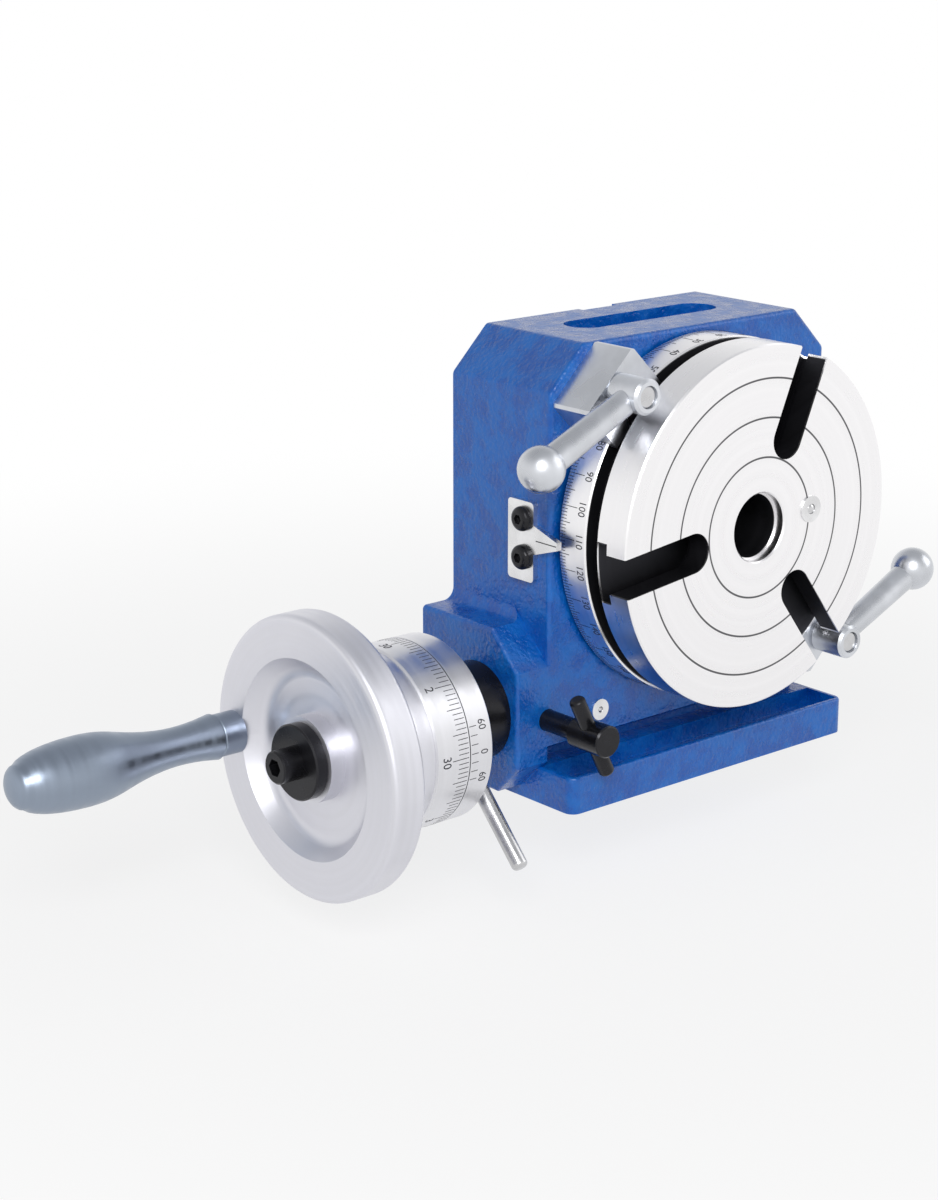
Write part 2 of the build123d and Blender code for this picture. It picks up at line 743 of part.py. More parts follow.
# Eccentric sleeve: its bore lies off centre, so a swing draws the worm away from the wheel
with BuildPart() as eccentric_sleeve:
    with BuildSketch(side_view(-sleeve_left, sleeve_y, sleeve_z)):
        Circle(sleeve_radius)
    extrude(amount=sleeve_left + sleeve_right)
    with BuildSketch(side_view(-spigot_left, worm_y, worm_z)):
        Circle(sleeve_spigot_radius)
    extrude(amount=sleeve_spigot_length + cutter_overrun)
    with BuildSketch(side_view(-spigot_left, worm_y, worm_z)):
        Circle(worm_bush_radius)
    extrude(amount=spigot_left, mode=Mode.SUBTRACT)
    with BuildSketch(side_view(-sleeve_window_half, worm_y, worm_z)):
        Circle(worm_bore_radius)
    extrude(amount=sleeve_window_half + sleeve_right, mode=Mode.SUBTRACT)
    # Window for the wheel, wide enough for the whole swing
    window_edge = polar(sleeve_window_offset, sleeve_window_angle)
    with BuildSketch(side_view(-sleeve_window_half, sleeve_y, sleeve_z)):
        with Locations(Location((*window_edge, 0), (0, 0, sleeve_window_angle))):
            Rectangle(
                sleeve_radius + cutter_overrun,
                2 * (sleeve_radius + cutter_overrun),
                align=(Align.MIN, Align.CENTER),
            )
    extrude(amount=2 * sleeve_window_half, mode=Mode.SUBTRACT)
    # Groove for the stop screw's dog
    groove_floor = sleeve_radius - stop_dog_length - stop_dog_play
    groove_half = stop_dog_radius + stop_dog_play
    groove_mouth = sleeve_radius + cutter_overrun
    groove_play = degrees(atan2(groove_half, groove_floor))
    with BuildSketch(side_view(-stop_x - groove_half, sleeve_y, sleeve_z)) as stop_groove:
        with BuildLine():
            CenterArc((0, 0), groove_mouth, -90 - sleeve_swing - groove_play, sleeve_swing + 2 * groove_play)
            groove_ends = [
                polar(groove_mouth, -90 - sleeve_swing - groove_play),
                polar(groove_mouth, -90 + groove_play),
            ]
            Polyline(groove_ends[1], (0, 0), groove_ends[0])
        make_face()
        Circle(groove_floor, mode=Mode.SUBTRACT)
    extrude(amount=2 * groove_half, mode=Mode.SUBTRACT)
    # Seat of the release pin
    pin_axis = Vector(0, *polar(1, pin_angle))
    neck_radius = -sleeve_throw * cos(radians(pin_angle - 180)) + sqrt(
        sleeve_radius**2 - (sleeve_throw * sin(radians(pin_angle - 180))) ** 2
    )
    pin_root = Vector(-pin_x, worm_y, worm_z) + pin_axis * (neck_radius - pin_seat)
    with BuildSketch(Plane(origin=pin_root, x_dir=(1, 0, 0), z_dir=pin_axis)):
        Circle(pin_radius + thread_gap)
    extrude(amount=2 * pin_seat, mode=Mode.SUBTRACT)
save(eccentric_sleeve, "eccentric_sleeve")

with BuildPart() as release_pin:
    with BuildSketch(Plane(origin=pin_root, x_dir=(1, 0, 0), z_dir=pin_axis)):
        Circle(pin_radius)
    extrude(amount=pin_reach - neck_radius + pin_seat)
    pin_end = release_pin.edges().filter_by(GeomType.CIRCLE).sort_by(Axis.Z)[0]
    fillet(pin_end, pin_end_round)
save(release_pin, "release_pin")

# Two plain bushes for the shaft and the plug that takes the worm's thrust
with BuildPart() as worm_bushes:
    for bush_left in (spigot_left, worm_core_half + face_gap + worm_bush_length):
        with BuildSketch(side_view(-bush_left, worm_y, worm_z)):
            Circle(worm_bush_radius - press_gap)
            Circle(worm_shaft_radius + running_gap, mode=Mode.SUBTRACT)
        extrude(amount=worm_bush_length)
save(worm_bushes, "worm_bushes")

with BuildPart() as worm_thrust_plug:
    with BuildSketch(side_view(worm_core_half + face_gap, worm_y, worm_z)):
        Circle(worm_bore_radius - press_gap)
        Circle(worm_tail_radius + running_gap, mode=Mode.SUBTRACT)
    extrude(amount=sleeve_right - worm_core_half - face_gap)
save(worm_thrust_plug, "worm_thrust_plug")

with BuildPart() as sleeve_stop_screw:
    screw_top = sleeve_z - sleeve_radius - face_gap
    with BuildSketch(Plane.XY.offset(housing_low)):
        with Locations((-stop_x, sleeve_y)):
            Circle(stop_radius)
    extrude(amount=screw_top - housing_low)
    with BuildSketch(Plane.XY.offset(screw_top)):
        with Locations((-stop_x, sleeve_y)):
            Circle(stop_dog_radius)
    extrude(amount=stop_dog_length)
    with BuildSketch(Plane.XY.offset(housing_low)):
        with Locations((-stop_x, sleeve_y)):
            RegularPolygon(stop_socket_across / 2, 6, major_radius=False)
    extrude(amount=stop_socket_depth, mode=Mode.SUBTRACT)
save(sleeve_stop_screw, "sleeve_stop_screw")

# Vernier ring on the sleeve's spigot and the dial on the handwheel's
with BuildPart() as vernier_ring:
    with BuildSketch(side_view(-vernier_left, worm_y, worm_z)):
        Circle(dial_radius)
        Circle(sleeve_spigot_radius + press_gap, mode=Mode.SUBTRACT)
    extrude(amount=vernier_width)
    vernier_edges = vernier_ring.edges().filter_by(GeomType.CIRCLE).filter_by(
        lambda e: abs(e.radius - dial_radius) < 0.01
    )
    chamfer(vernier_edges.sort_by(Axis.X)[-1], ring_chamfer)
save(vernier_ring, "vernier_ring")

with BuildPart() as graduated_dial:
    with BuildSketch(side_view(-dial_left, worm_y, worm_z)):
        Circle(dial_radius)
        Circle(dial_seat_radius + running_gap, mode=Mode.SUBTRACT)
    extrude(amount=dial_width)
    dial_edges = graduated_dial.edges().filter_by(GeomType.CIRCLE).filter_by(
        lambda e: abs(e.radius - dial_radius) < 0.01
    )
    chamfer(dial_edges.sort_by(Axis.X)[0], ring_chamfer)
save(graduated_dial, "graduated_dial")

# Handwheel: solid dished wheel with a conical hub
with BuildPart() as handwheel:
    with BuildSketch(worm_profile) as wheel_outline:
        with BuildLine():
            Polyline(
                (-hub_right, hub_seat_radius),
                (-hub_right, dial_seat_radius),
                (-hub_shoulder, dial_seat_radius),
                (-hub_shoulder, cone_small_radius),
                (-rim_right, cone_large_radius),
                (-rim_right, handwheel_radius),
                (-handwheel_face, handwheel_radius),
                (-handwheel_face, dish_radius),
                (-handwheel_face + dish_depth, dish_radius - dish_round),
                (-handwheel_face + dish_depth, hub_boss_radius),
                (-boss_left, hub_boss_radius),
                (-boss_left, hub_seat_radius),
                close=True,
            )
        make_face()
        rim_corners = wheel_outline.vertices().filter_by(lambda v: v.Y > handwheel_radius - 0.01)
        fillet(rim_corners, rim_round)
        dish_corner = wheel_outline.vertices().sort_by_distance((-handwheel_face + dish_depth, dish_radius - dish_round))[0]
        fillet(dish_corner, dish_round)
        cone_corner = wheel_outline.vertices().sort_by_distance((-rim_right, cone_large_radius))[0]
        fillet(cone_corner, rim_round)
    revolve(axis=worm_axis)
    with BuildSketch(side_view(-boss_left, worm_y, worm_z + hub_seat_radius - key_sunk)):
        Rectangle(key_width + 2 * press_gap, key_height + thread_gap, align=(Align.CENTER, Align.MIN))
    extrude(amount=boss_left - hub_right, mode=Mode.SUBTRACT)
    with BuildSketch(side_view(-handwheel_face, handle_y, handle_z)):
        Circle(spindle_thread_radius + thread_gap)
    extrude(amount=spindle_thread_length + face_gap, mode=Mode.SUBTRACT)
save(handwheel, "handwheel")

with BuildPart() as handwheel_key:
    with BuildSketch(side_view(-key_end - key_length, worm_y, worm_z + hub_seat_radius - key_sunk + press_gap)):
        Rectangle(key_width, key_height, align=(Align.CENTER, Align.MIN))
    extrude(amount=key_length)
save(handwheel_key, "handwheel_key")

with BuildPart() as handwheel_washer:
    with BuildSketch(side_view(-washer_left, worm_y, worm_z)):
        Circle(washer_radius)
        Circle(cap_shank_radius + running_gap, mode=Mode.SUBTRACT)
    extrude(amount=washer_thickness)
    washer_rim = handwheel_washer.edges().filter_by(GeomType.CIRCLE).filter_by(
        lambda e: abs(e.radius - washer_radius) < 0.01
    ).sort_by(Axis.X)[0]
    chamfer(washer_rim, edge_break)
save(handwheel_washer, "handwheel_washer")

with BuildPart() as handwheel_screw:
    with BuildSketch(side_view(-washer_left - cap_head_height, worm_y, worm_z)):
        Circle(cap_head_radius)
    extrude(amount=cap_head_height)
    chamfer(handwheel_screw.edges().sort_by(Axis.X)[0], edge_break)
    with BuildSketch(side_view(-washer_left, worm_y, worm_z)):
        Circle(cap_shank_radius)
    extrude(amount=cap_screw_length)
    with BuildSketch(side_view(-washer_left - cap_head_height, worm_y, worm_z)):
        RegularPolygon(cap_socket_across / 2, 6, major_radius=False)
    extrude(amount=cap_socket_depth, mode=Mode.SUBTRACT)
save(handwheel_screw, "handwheel_screw")

# Handle: a spindle screwed into the rim and the grip that turns on it
with BuildPart() as handle_spindle:
    with BuildSketch(handle_profile) as spindle_outline:
        with BuildLine():
            Polyline(
                (-handwheel_face + spindle_thread_length, 0),
                (-handwheel_face + spindle_thread_length, spindle_thread_radius),
                (-handwheel_face, spindle_thread_radius),
                (-handwheel_face, collar_radius),
                (-collar_left, collar_radius),
                (-collar_left, spindle_radius),
                (-spindle_left, spindle_radius),
                (-spindle_left, spindle_head_radius),
                (-spindle_left - spindle_head_length, spindle_head_radius),
                (-spindle_left - spindle_head_length, 0),
                close=True,
            )
        make_face()
        collar_corner = spindle_outline.vertices().sort_by_distance((-collar_left, collar_radius))[0]
        fillet(collar_corner, collar_round)
    revolve(axis=handle_axis)
save(handle_spindle, "handle_spindle")

with BuildPart() as handle_grip:
    with BuildSketch(handle_profile):
        with BuildLine():
            Line((-grip_right, spindle_radius + running_gap), (-grip_right, grip_end_radius))
            Spline(
                (-grip_right, grip_end_radius),
                (-grip_right - grip_neck_at, grip_neck_radius),
                (-grip_right - grip_belly_at, grip_belly_radius),
                (-grip_left + grip_tip_length, grip_tip_radius),
                tangents=((-1, 0), (-grip_tip_lean, -1)),
            )
            Spline(
                (-grip_left + grip_tip_length, grip_tip_radius),
                (-grip_left, 0),
                tangents=((-grip_tip_lean, -1), (0, -1)),
            )
            Polyline(
                (-grip_left, 0),
                (-spindle_left - spindle_head_length - face_gap, 0),
                (-spindle_left - spindle_head_length - face_gap, spindle_head_radius + face_gap),
                (-spindle_left + face_gap, spindle_head_radius + face_gap),
                (-spindle_left + face_gap, spindle_radius + running_gap),
                (-grip_right, spindle_radius + running_gap),
            )
        make_face()
    revolve(axis=handle_axis)
save(handle_grip, "handle_grip")

# Index plate with its pointer over the graduated ring
with BuildPart() as index_plate:
    with BuildSketch(side_view(-body_half_width - plate_thickness)):
        with Locations((-plate_back - plate_width / 2, plate_middle)):
            RectangleRounded(plate_width, plate_height, plate_corner)
        with BuildLine():
            pointer_base = -plate_back - plate_width + plate_corner
            pointer_end = -plate_back - plate_width - pointer_reach
            pointer_height = plate_middle + pointer_lift
            Polyline(
                (pointer_base, pointer_height + pointer_root),
                (pointer_end, pointer_height + pointer_tip),
                (pointer_end, pointer_height - pointer_tip),
                (pointer_base, pointer_height - pointer_root),
                close=True,
            )
        make_face()
        with Locations(*plate_screw_points):
            Circle(plate_screw_radius + face_gap, mode=Mode.SUBTRACT)
    extrude(amount=plate_thickness)
save(index_plate, "index_plate")

with BuildPart() as index_plate_screws:
    head_left = -body_half_width - plate_thickness - plate_head_height
    with BuildSketch(side_view(head_left)):
        with Locations(*plate_screw_points):
            Circle(plate_head_radius)
    extrude(amount=plate_head_height)
    head_rims = index_plate_screws.edges().filter_by(GeomType.CIRCLE).group_by(Axis.X)[0]
    fillet(head_rims, plate_head_round)
    with BuildSketch(side_view(-body_half_width - plate_thickness)):
        with Locations(*plate_screw_points):
            Circle(plate_screw_radius)
    extrude(amount=plate_screw_length)
    with BuildSketch(side_view(head_left)):
        with Locations(*plate_screw_points):
            RegularPolygon(plate_socket_across / 2, 6, major_radius=False)
    extrude(amount=plate_socket_depth, mode=Mode.SUBTRACT)
save(index_plate_screws, "index_plate_screws")

# Table clamps: blocks on the body with a tongue in the plate's groove, studs, nuts and levers
with BuildPart() as clamp_studs:
    with BuildSketch(front_view(body_front + stud_depth)):
        with Locations(*clamp_points):
            Circle(stud_radius)
    extrude(amount=stud_depth + clamp_height + nut_height - stud_shortfall)
    stud_ends = clamp_studs.edges().filter_by(GeomType.CIRCLE).group_by(Axis.Y)[0]
    chamfer(stud_ends, edge_break)
save(clamp_studs, "clamp_studs")

for number, angle in ((1, clamp_angle), (2, clamp_angle + 180)):
    block_middle = (clamp_tongue_radius + clamp_outer_radius) / 2
    with BuildPart() as clamp_block:
        with BuildSketch(front_view(body_front)):
            with Locations(Location((*polar(block_middle, angle), 0), (0, 0, angle))):
                Rectangle(clamp_outer_radius - clamp_tongue_radius, 2 * clamp_half_width)
            Circle(clamp_inner_radius, mode=Mode.SUBTRACT)
        extrude(amount=clamp_height)
        with BuildSketch(front_view(tongue_back)):
            with Locations(Location((*polar(block_middle, angle), 0), (0, 0, angle))):
                Rectangle(clamp_outer_radius - clamp_tongue_radius, 2 * clamp_half_width)
            Circle(clamp_tongue_radius, mode=Mode.SUBTRACT)
        extrude(amount=clamp_tongue_height)
        outer_edges = clamp_block.edges().filter_by(Axis.Y).filter_by(
            lambda e: sqrt(e.center().X ** 2 + (e.center().Z - centre_height) ** 2) > clamp_outer_radius
        )
        chamfer(outer_edges, clamp_chamfer)
        with BuildSketch(front_view(body_front)):
            with Locations(polar(clamp_axis_radius, angle)):
                Circle(stud_radius + thread_gap)
        extrude(amount=clamp_height, mode=Mode.SUBTRACT)
    save(clamp_block, f"clamp_block_{number}")

    lever_angle = angle + lever_turn
    hub_centre = polar(clamp_axis_radius, angle)
    across, up = polar(1, lever_angle)
    lever_axis = Vector(across, 0, up)
    hub_point = Vector(hub_centre[0], lever_y, centre_height + hub_centre[1])
    lever_plane = Plane(origin=hub_point, x_dir=(0, 1, 0), z_dir=lever_axis)
    with BuildPart() as clamp_nut:
        with BuildSketch(front_view(clamp_front)):
            with Locations(hub_centre):
                Circle(nut_radius)
                Circle(stud_radius + thread_gap, mode=Mode.SUBTRACT)
        extrude(amount=nut_height)
        nut_rims = clamp_nut.edges().filter_by(GeomType.CIRCLE).filter_by(
            lambda e: abs(e.radius - nut_radius) < 0.01
        )
        chamfer(nut_rims, nut_chamfer)
        with BuildSketch(lever_plane):
            Circle(lever_spigot_radius + thread_gap)
        extrude(amount=nut_radius + cutter_overrun, mode=Mode.SUBTRACT)
    save(clamp_nut, f"clamp_nut_{number}")

    with BuildPart() as clamp_handle:
        with BuildSketch(lever_plane):
            Circle(lever_root_radius)
        with BuildSketch(lever_plane.offset(lever_length)):
            Circle(lever_end_radius)
        loft()
        with BuildSketch(front_view(lever_y + lever_end_radius)):
            with Locations(hub_centre):
                Circle(nut_radius + thread_gap)
        extrude(amount=2 * lever_end_radius, mode=Mode.SUBTRACT)
        with Locations(lever_plane.offset(lever_length)):
            Sphere(lever_ball_radius)
        with BuildSketch(lever_plane.offset(nut_radius - lever_spigot_sunk)):
            Circle(lever_spigot_radius)
        extrude(amount=2 * lever_spigot_sunk)
    save(clamp_handle, f"clamp_handle_{number}")

# Sleeve lock screw and the bar that slides through its head
lock_start = sleeve_y - sqrt(sleeve_radius**2 - (lock_z - sleeve_z) ** 2) - lock_tip_gap
head_back = body_front - lock_head_start
head_front = head_back - lock_head_length
bar_y = head_back - lock_bar_from_head
bar_direction = Vector(cos(radians(lock_bar_angle)), 0, sin(radians(lock_bar_angle)))
bar_start = Vector(-lock_x, bar_y, lock_z) - bar_direction * (lock_bar_length / 2)
with BuildPart() as lock_screw:
    with BuildSketch(front_view(lock_start, -lock_x, lock_z)):
        Circle(lock_radius)
    extrude(amount=lock_start - head_back)
    with BuildSketch(front_view(head_back, -lock_x, lock_z)):
        Circle(lock_head_radius)
    extrude(amount=lock_head_length)
    lock_rims = lock_screw.edges().filter_by(GeomType.CIRCLE).filter_by(
        lambda e: abs(e.radius - lock_head_radius) < 0.01
    )
    chamfer(lock_rims, edge_break)
    with BuildSketch(Plane(origin=bar_start, z_dir=bar_direction)):
        Circle(lock_bar_radius + thread_gap)
    extrude(amount=lock_bar_length, mode=Mode.SUBTRACT)
save(lock_screw, "lock_screw")

with BuildPart() as lock_bar:
    with BuildSketch(Plane(origin=bar_start, z_dir=bar_direction)):
        Circle(lock_bar_radius)
    extrude(amount=lock_bar_length)
    fillet(lock_bar.edges().filter_by(GeomType.CIRCLE), lock_bar_round)
save(lock_bar, "lock_bar")


def oiler_cup(plane, radius, depth, ball):
    """Flanged cup whose lip keeps the ball in."""
    with BuildPart() as cup:
        with BuildSketch(plane.offset(-depth + press_gap)):
            Circle(radius)
        extrude(amount=depth + oiler_proud - press_gap)
        with BuildSketch(plane.offset(-depth)):
            Circle(ball + face_gap)
        extrude(amount=depth + oiler_proud - oiler_lip, mode=Mode.SUBTRACT)
        with BuildSketch(plane):
            Circle(ball * oiler_mouth)
        extrude(amount=oiler_proud, mode=Mode.SUBTRACT)
    return cup


def oiler_ball(plane, ball):
    """Ball that rests against the lip from inside."""
    seat = oiler_proud - oiler_lip - ball * sqrt(1 - oiler_mouth**2) - press_gap
    with BuildPart(plane.offset(seat)) as sphere:
        Sphere(ball)
    return sphere


body_oiler_plane = front_view(body_front, -body_oiler_x, body_oiler_z)
body_oiler = oiler_cup(body_oiler_plane, body_oiler_radius, body_oiler_depth, body_oiler_ball)
save(body_oiler, "body_oiler")
body_ball = oiler_ball(body_oiler_plane, body_oiler_ball)
save(body_ball, "body_oiler_ball")

table_oiler_plane = front_view(face_front, table_oiler_x, table_oiler_z)
table_oiler = oiler_cup(table_oiler_plane, table_oiler_radius, table_oiler_depth, table_oiler_ball)
save(table_oiler, "table_oiler")
table_ball = oiler_ball(table_oiler_plane, table_oiler_ball)
save(table_ball, "table_oiler_ball")
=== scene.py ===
"""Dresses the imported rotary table: cast paint, machined finishes, engraved scales and the studio."""
import json
import math

import bpy
from mathutils import Matrix, Vector


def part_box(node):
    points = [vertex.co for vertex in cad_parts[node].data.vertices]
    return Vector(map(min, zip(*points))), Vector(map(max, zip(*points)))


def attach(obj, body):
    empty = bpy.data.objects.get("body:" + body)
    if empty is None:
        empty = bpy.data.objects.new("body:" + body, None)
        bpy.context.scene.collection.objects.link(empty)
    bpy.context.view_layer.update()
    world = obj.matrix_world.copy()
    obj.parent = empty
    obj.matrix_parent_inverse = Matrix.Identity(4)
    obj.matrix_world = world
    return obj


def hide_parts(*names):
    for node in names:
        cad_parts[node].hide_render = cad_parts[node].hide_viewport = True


bl_info = {
    "name": "Rotary Table Dressing",
    "version": (1, 0, 0),
    "blender": (4, 5, 0),
    "location": "View3D > Sidebar > Rotary Table",
    "description": "Paint, machined finishes, scales and studio for a small rotary table",
    "category": "Object",
}

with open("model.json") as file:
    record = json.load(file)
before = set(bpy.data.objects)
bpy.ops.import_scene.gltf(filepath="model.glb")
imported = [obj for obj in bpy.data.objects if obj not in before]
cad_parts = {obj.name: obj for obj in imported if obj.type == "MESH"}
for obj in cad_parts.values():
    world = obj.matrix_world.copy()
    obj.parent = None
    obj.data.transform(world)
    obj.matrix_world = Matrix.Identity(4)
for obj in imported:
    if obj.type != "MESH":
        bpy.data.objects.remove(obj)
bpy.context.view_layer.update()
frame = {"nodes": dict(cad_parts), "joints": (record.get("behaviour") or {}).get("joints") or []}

plate_low, plate_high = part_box("table_plate")
ring_low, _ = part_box("vernier_ring")
dial_low, dial_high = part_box("graduated_dial")
pointer_low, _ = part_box("index_plate")
joint_place = {joint["name"]: Vector(joint["pos_m"]) for joint in frame["joints"]}

TABLE_CENTRE = joint_place["table_turn"]
WORM_CENTRE = joint_place["worm_turn"]
HANDLE_CENTRE = joint_place["grip_spin"]
TABLE_RADIUS = plate_high.x
DIAL_RADIUS = (dial_high.z - dial_low.z) / 2
MM = 0.001
SPINDLE_RADIUS = 0.0032
SPINDLE_HEAD_RADIUS = 0.0042
SPINDLE_HEAD_LENGTH = 0.003
BORE_RADIUS = 0.01
PILOT_DEPTH = 0.003
SCRIBED_CIRCLES = (0.0193, 0.0301, 0.0408)
SCRIBED_WIDTH = 0.00042
POINTER_HEIGHT = 0.0735
POINTER_LINE = (0.00025, 0.008, 0.0042)
RIM_MARK = (0.0003, 0.0026, -0.057)
RIM_MARK_ANGLE = math.radians(177.3)
CLAMP_METAL = (
    "clamp_block_1", "clamp_block_2", "clamp_nut_1", "clamp_nut_2", "clamp_handle_1", "clamp_handle_2",
)


def length_prop(name, description, millimetres):
    """A length that the panel shows in the scene's units."""
    return bpy.props.FloatProperty(
        name=name, description=description, default=millimetres * MM, subtype="DISTANCE", unit="LENGTH",
        precision=5,
    )


def colour_prop(name, description, value):
    """A linear colour without alpha."""
    return bpy.props.FloatVectorProperty(
        name=name, description=description, default=value, size=3, subtype="COLOR", min=0.0, max=1.0
    )


def factor_prop(name, description, value):
    """A share from 0 to 1."""
    return bpy.props.FloatProperty(
        name=name, description=description, default=value, min=0.0, max=1.0, subtype="FACTOR"
    )


class FinishSettings(bpy.types.PropertyGroup):
    """Colours and surface sizes of the paint and the metals."""

    paint: colour_prop("Paint", "Blue enamel on the castings", (0.0, 0.095, 0.46))
    # The pale blue of random thin patches in the enamel, and of the painted highlight laid along its edges.
    paint_edge: colour_prop("Paint edge", "Pale blue of thin enamel and of the painted edge highlight", (0.005, 0.25, 0.80))
    paint_grain: length_prop("Paint grain", "Size of the dimples in the enamel", 1.2)
    paint_roughness: factor_prop("Paint roughness", "Roughness of the enamel", 0.3)
    ground: colour_prop("Ground steel", "Face and rim of the table plate", (0.93, 0.92, 0.93))
    satin: colour_prop("Satin chrome", "Dial and vernier ring", (0.78, 0.78, 0.81))
    aluminium: colour_prop("Aluminium", "Handwheel", (0.74, 0.74, 0.79))
    grip: colour_prop("Grip", "Revolving grip", (0.30, 0.35, 0.43))
    lever: colour_prop("Lever metal", "Clamp levers, nuts and blocks", (0.72, 0.74, 0.78))
    bare: colour_prop("Bare steel", "Index plate, pin and shafts", (0.66, 0.66, 0.67))
    oxide: colour_prop("Black oxide", "Screws, washer and sleeve", (0.018, 0.018, 0.022))
    bronze: colour_prop("Bronze", "Bushes and worm wheel", (0.60, 0.38, 0.16))
    plated: colour_prop("Bright plate", "Index plate and oiler cups", (0.88, 0.88, 0.89))
    # Recess is painted shade: a near-black laid inside the slots, the groove and the bore.
    recess: colour_prop("Recess", "Painted shade inside the slots, the groove and the bore", (0.045, 0.045, 0.052))
    ink: colour_prop("Ink", "Filling of the engraved marks", (0.015, 0.015, 0.02))
    tool_pitch: length_prop("Tool pitch", "Distance between turning marks", 0.16)


class ScaleSettings(bpy.types.PropertyGroup):
    """Graduations of the table, the dial and the vernier."""

    line_width: length_prop("Line width", "Width of an engraved line", 0.2)
    line_height: length_prop("Line height", "How far the filling stands proud", 0.015)
    table_start: bpy.props.FloatProperty(
        name="Table zero", description="Angle of the table's zero mark at rest", default=math.radians(68.75),
        subtype="ANGLE", unit="ROTATION",
    )
    table_margin: length_prop("Table margin", "Distance from the ring's rear edge to its marks", 0.4)
    table_short: length_prop("Short mark", "Length of a one-degree mark", 2.1)
    table_middle: length_prop("Middle mark", "Length of a five-degree mark", 3.6)
    table_long: length_prop("Long mark", "Length of a ten-degree mark", 5.7)
    table_figure: length_prop("Table figure", "Height of the ring's figures", 2.5)
    dial_zero: bpy.props.FloatProperty(
        name="Dial zero", description="Angle of the dial's zero mark at rest", default=math.radians(315.5),
        subtype="ANGLE", unit="ROTATION",
    )
    dial_margin: length_prop("Dial margin", "Distance from the dial's edge to its marks", 0.35)
    dial_short: length_prop("Dial short mark", "Length of a dial's plain mark", 3.3)
    dial_middle: length_prop("Dial middle mark", "Length of every fifth mark", 4.7)
    dial_long: length_prop("Dial long mark", "Length of a mark with a figure", 5.4)
    dial_figure: length_prop("Dial figure", "Height of the dial's figures", 2.7)
    vernier_zero: bpy.props.FloatProperty(
        name="Vernier zero", description="Angle of the vernier's zero mark", default=math.radians(179.3),
        subtype="ANGLE", unit="ROTATION",
    )
    vernier_step: bpy.props.FloatProperty(
        name="Vernier step", description="Angle between two vernier marks", default=math.radians(5.5),
        subtype="ANGLE", unit="ROTATION",
    )
    vernier_mark: length_prop("Vernier mark", "Length of a vernier mark", 2.3)
    vernier_figure: length_prop("Vernier figure", "Height of the vernier's figures", 2.4)


class GripSettings(bpy.types.PropertyGroup):
    """Sizes of the revolving grip's waisted outline, from its collar to its tip."""

    end_radius: length_prop("End radius", "Radius at the collar", 6.2)
    neck_radius: length_prop("Neck radius", "Radius of the waist", 5.1)
    neck_at: length_prop("Neck place", "Distance of the waist from the collar", 12.0)
    swell_radius: length_prop("Swell radius", "Radius where the waist runs into the belly", 7.6)
    swell_at: length_prop("Swell place", "Distance of the swell from the collar", 28.5)
    belly_radius: length_prop("Belly radius", "Largest radius", 9.3)
    belly_at: length_prop("Belly place", "Distance of the largest radius from the collar", 40.0)
    nose_radius: length_prop("Nose radius", "Radius where the rounded tip starts", 4.7)
    nose_at: length_prop("Nose place", "Distance of the nose from the collar", 58.2)
    length: length_prop("Length", "Whole length of the grip", 61.3)
    clearance: length_prop("Clearance", "Gap between the grip and its spindle", 0.05)
    steps: bpy.props.IntProperty(
        name="Steps", description="Rings in each stretch of the outline", default=6, min=2
    )
    sides: bpy.props.IntProperty(name="Sides", description="Facets round the grip", default=64, min=12)


class StageSettings(bpy.types.PropertyGroup):
    """Camera, lamps and floor."""

    camera_place: bpy.props.FloatVectorProperty(
        name="Camera place", description="Where the camera stands", default=(-0.4907, -0.5236, 0.2488), size=3,
        subtype="TRANSLATION", unit="LENGTH",
    )
    camera_tilt: bpy.props.FloatProperty(
        name="Camera tilt", description="Angle of the view from straight down", default=math.radians(73.68),
        subtype="ANGLE", unit="ROTATION",
    )
    camera_turn: bpy.props.FloatProperty(
        name="Camera turn", description="Turn of the view about the vertical", default=math.radians(-40.29),
        subtype="ANGLE", unit="ROTATION",
    )
    lens: bpy.props.FloatProperty(
        name="Lens", description="Focal length in millimetres", default=76.6, min=10.0,
        subtype="DISTANCE_CAMERA",
    )
    floor_height: length_prop("Floor height", "Height of the floor, under the lowest swing of the pin", -24.0)
    floor_reach: bpy.props.FloatProperty(
        name="Floor reach", description="Half the floor's width", default=9.0, subtype="DISTANCE", unit="LENGTH"
    )
    key_power: bpy.props.FloatProperty(
        name="Key power", description="Power of the main softbox", default=9.0, subtype="POWER", unit="POWER"
    )
    fill_power: bpy.props.FloatProperty(
        name="Fill power", description="Power of the side softbox", default=3.0, subtype="POWER", unit="POWER"
    )
    sky: factor_prop("Sky", "Strength of the even light from all round", 0.36)


def deselect_all():
    """Leaves edit mode and empties the selection."""
    if bpy.context.object is not None and bpy.context.object.mode != "OBJECT":
        bpy.ops.object.mode_set(mode="OBJECT")
    bpy.ops.object.select_all(action="DESELECT")


def link(tree, source, target):
    """Joins one socket to another."""
    tree.links.new(source, target)


def feed(tree, socket, value):
    """Puts a number, a vector or another socket's result into a socket."""
    if isinstance(value, bpy.types.NodeSocket):
        tree.links.new(value, socket)
    else:
        socket.default_value = value


def calc(tree, operation, first, second=0.0, third=0.0):
    """One Math node; returns its result."""
    made = tree.nodes.new("ShaderNodeMath")
    made.operation = operation
    feed(tree, made.inputs[0], first)
    feed(tree, made.inputs[1], second)
    feed(tree, made.inputs[2], third)
    return made.outputs[0]


def spread(tree, value, low, high, out_low=0.0, out_high=1.0):
    """Smoothly maps one range of values to another."""
    made = tree.nodes.new("ShaderNodeMapRange")
    made.interpolation_type = "SMOOTHSTEP"
    feed(tree, made.inputs["Value"], value)
    feed(tree, made.inputs["From Min"], low)
    feed(tree, made.inputs["From Max"], high)
    feed(tree, made.inputs["To Min"], out_low)
    feed(tree, made.inputs["To Max"], out_high)
    return made.outputs["Result"]


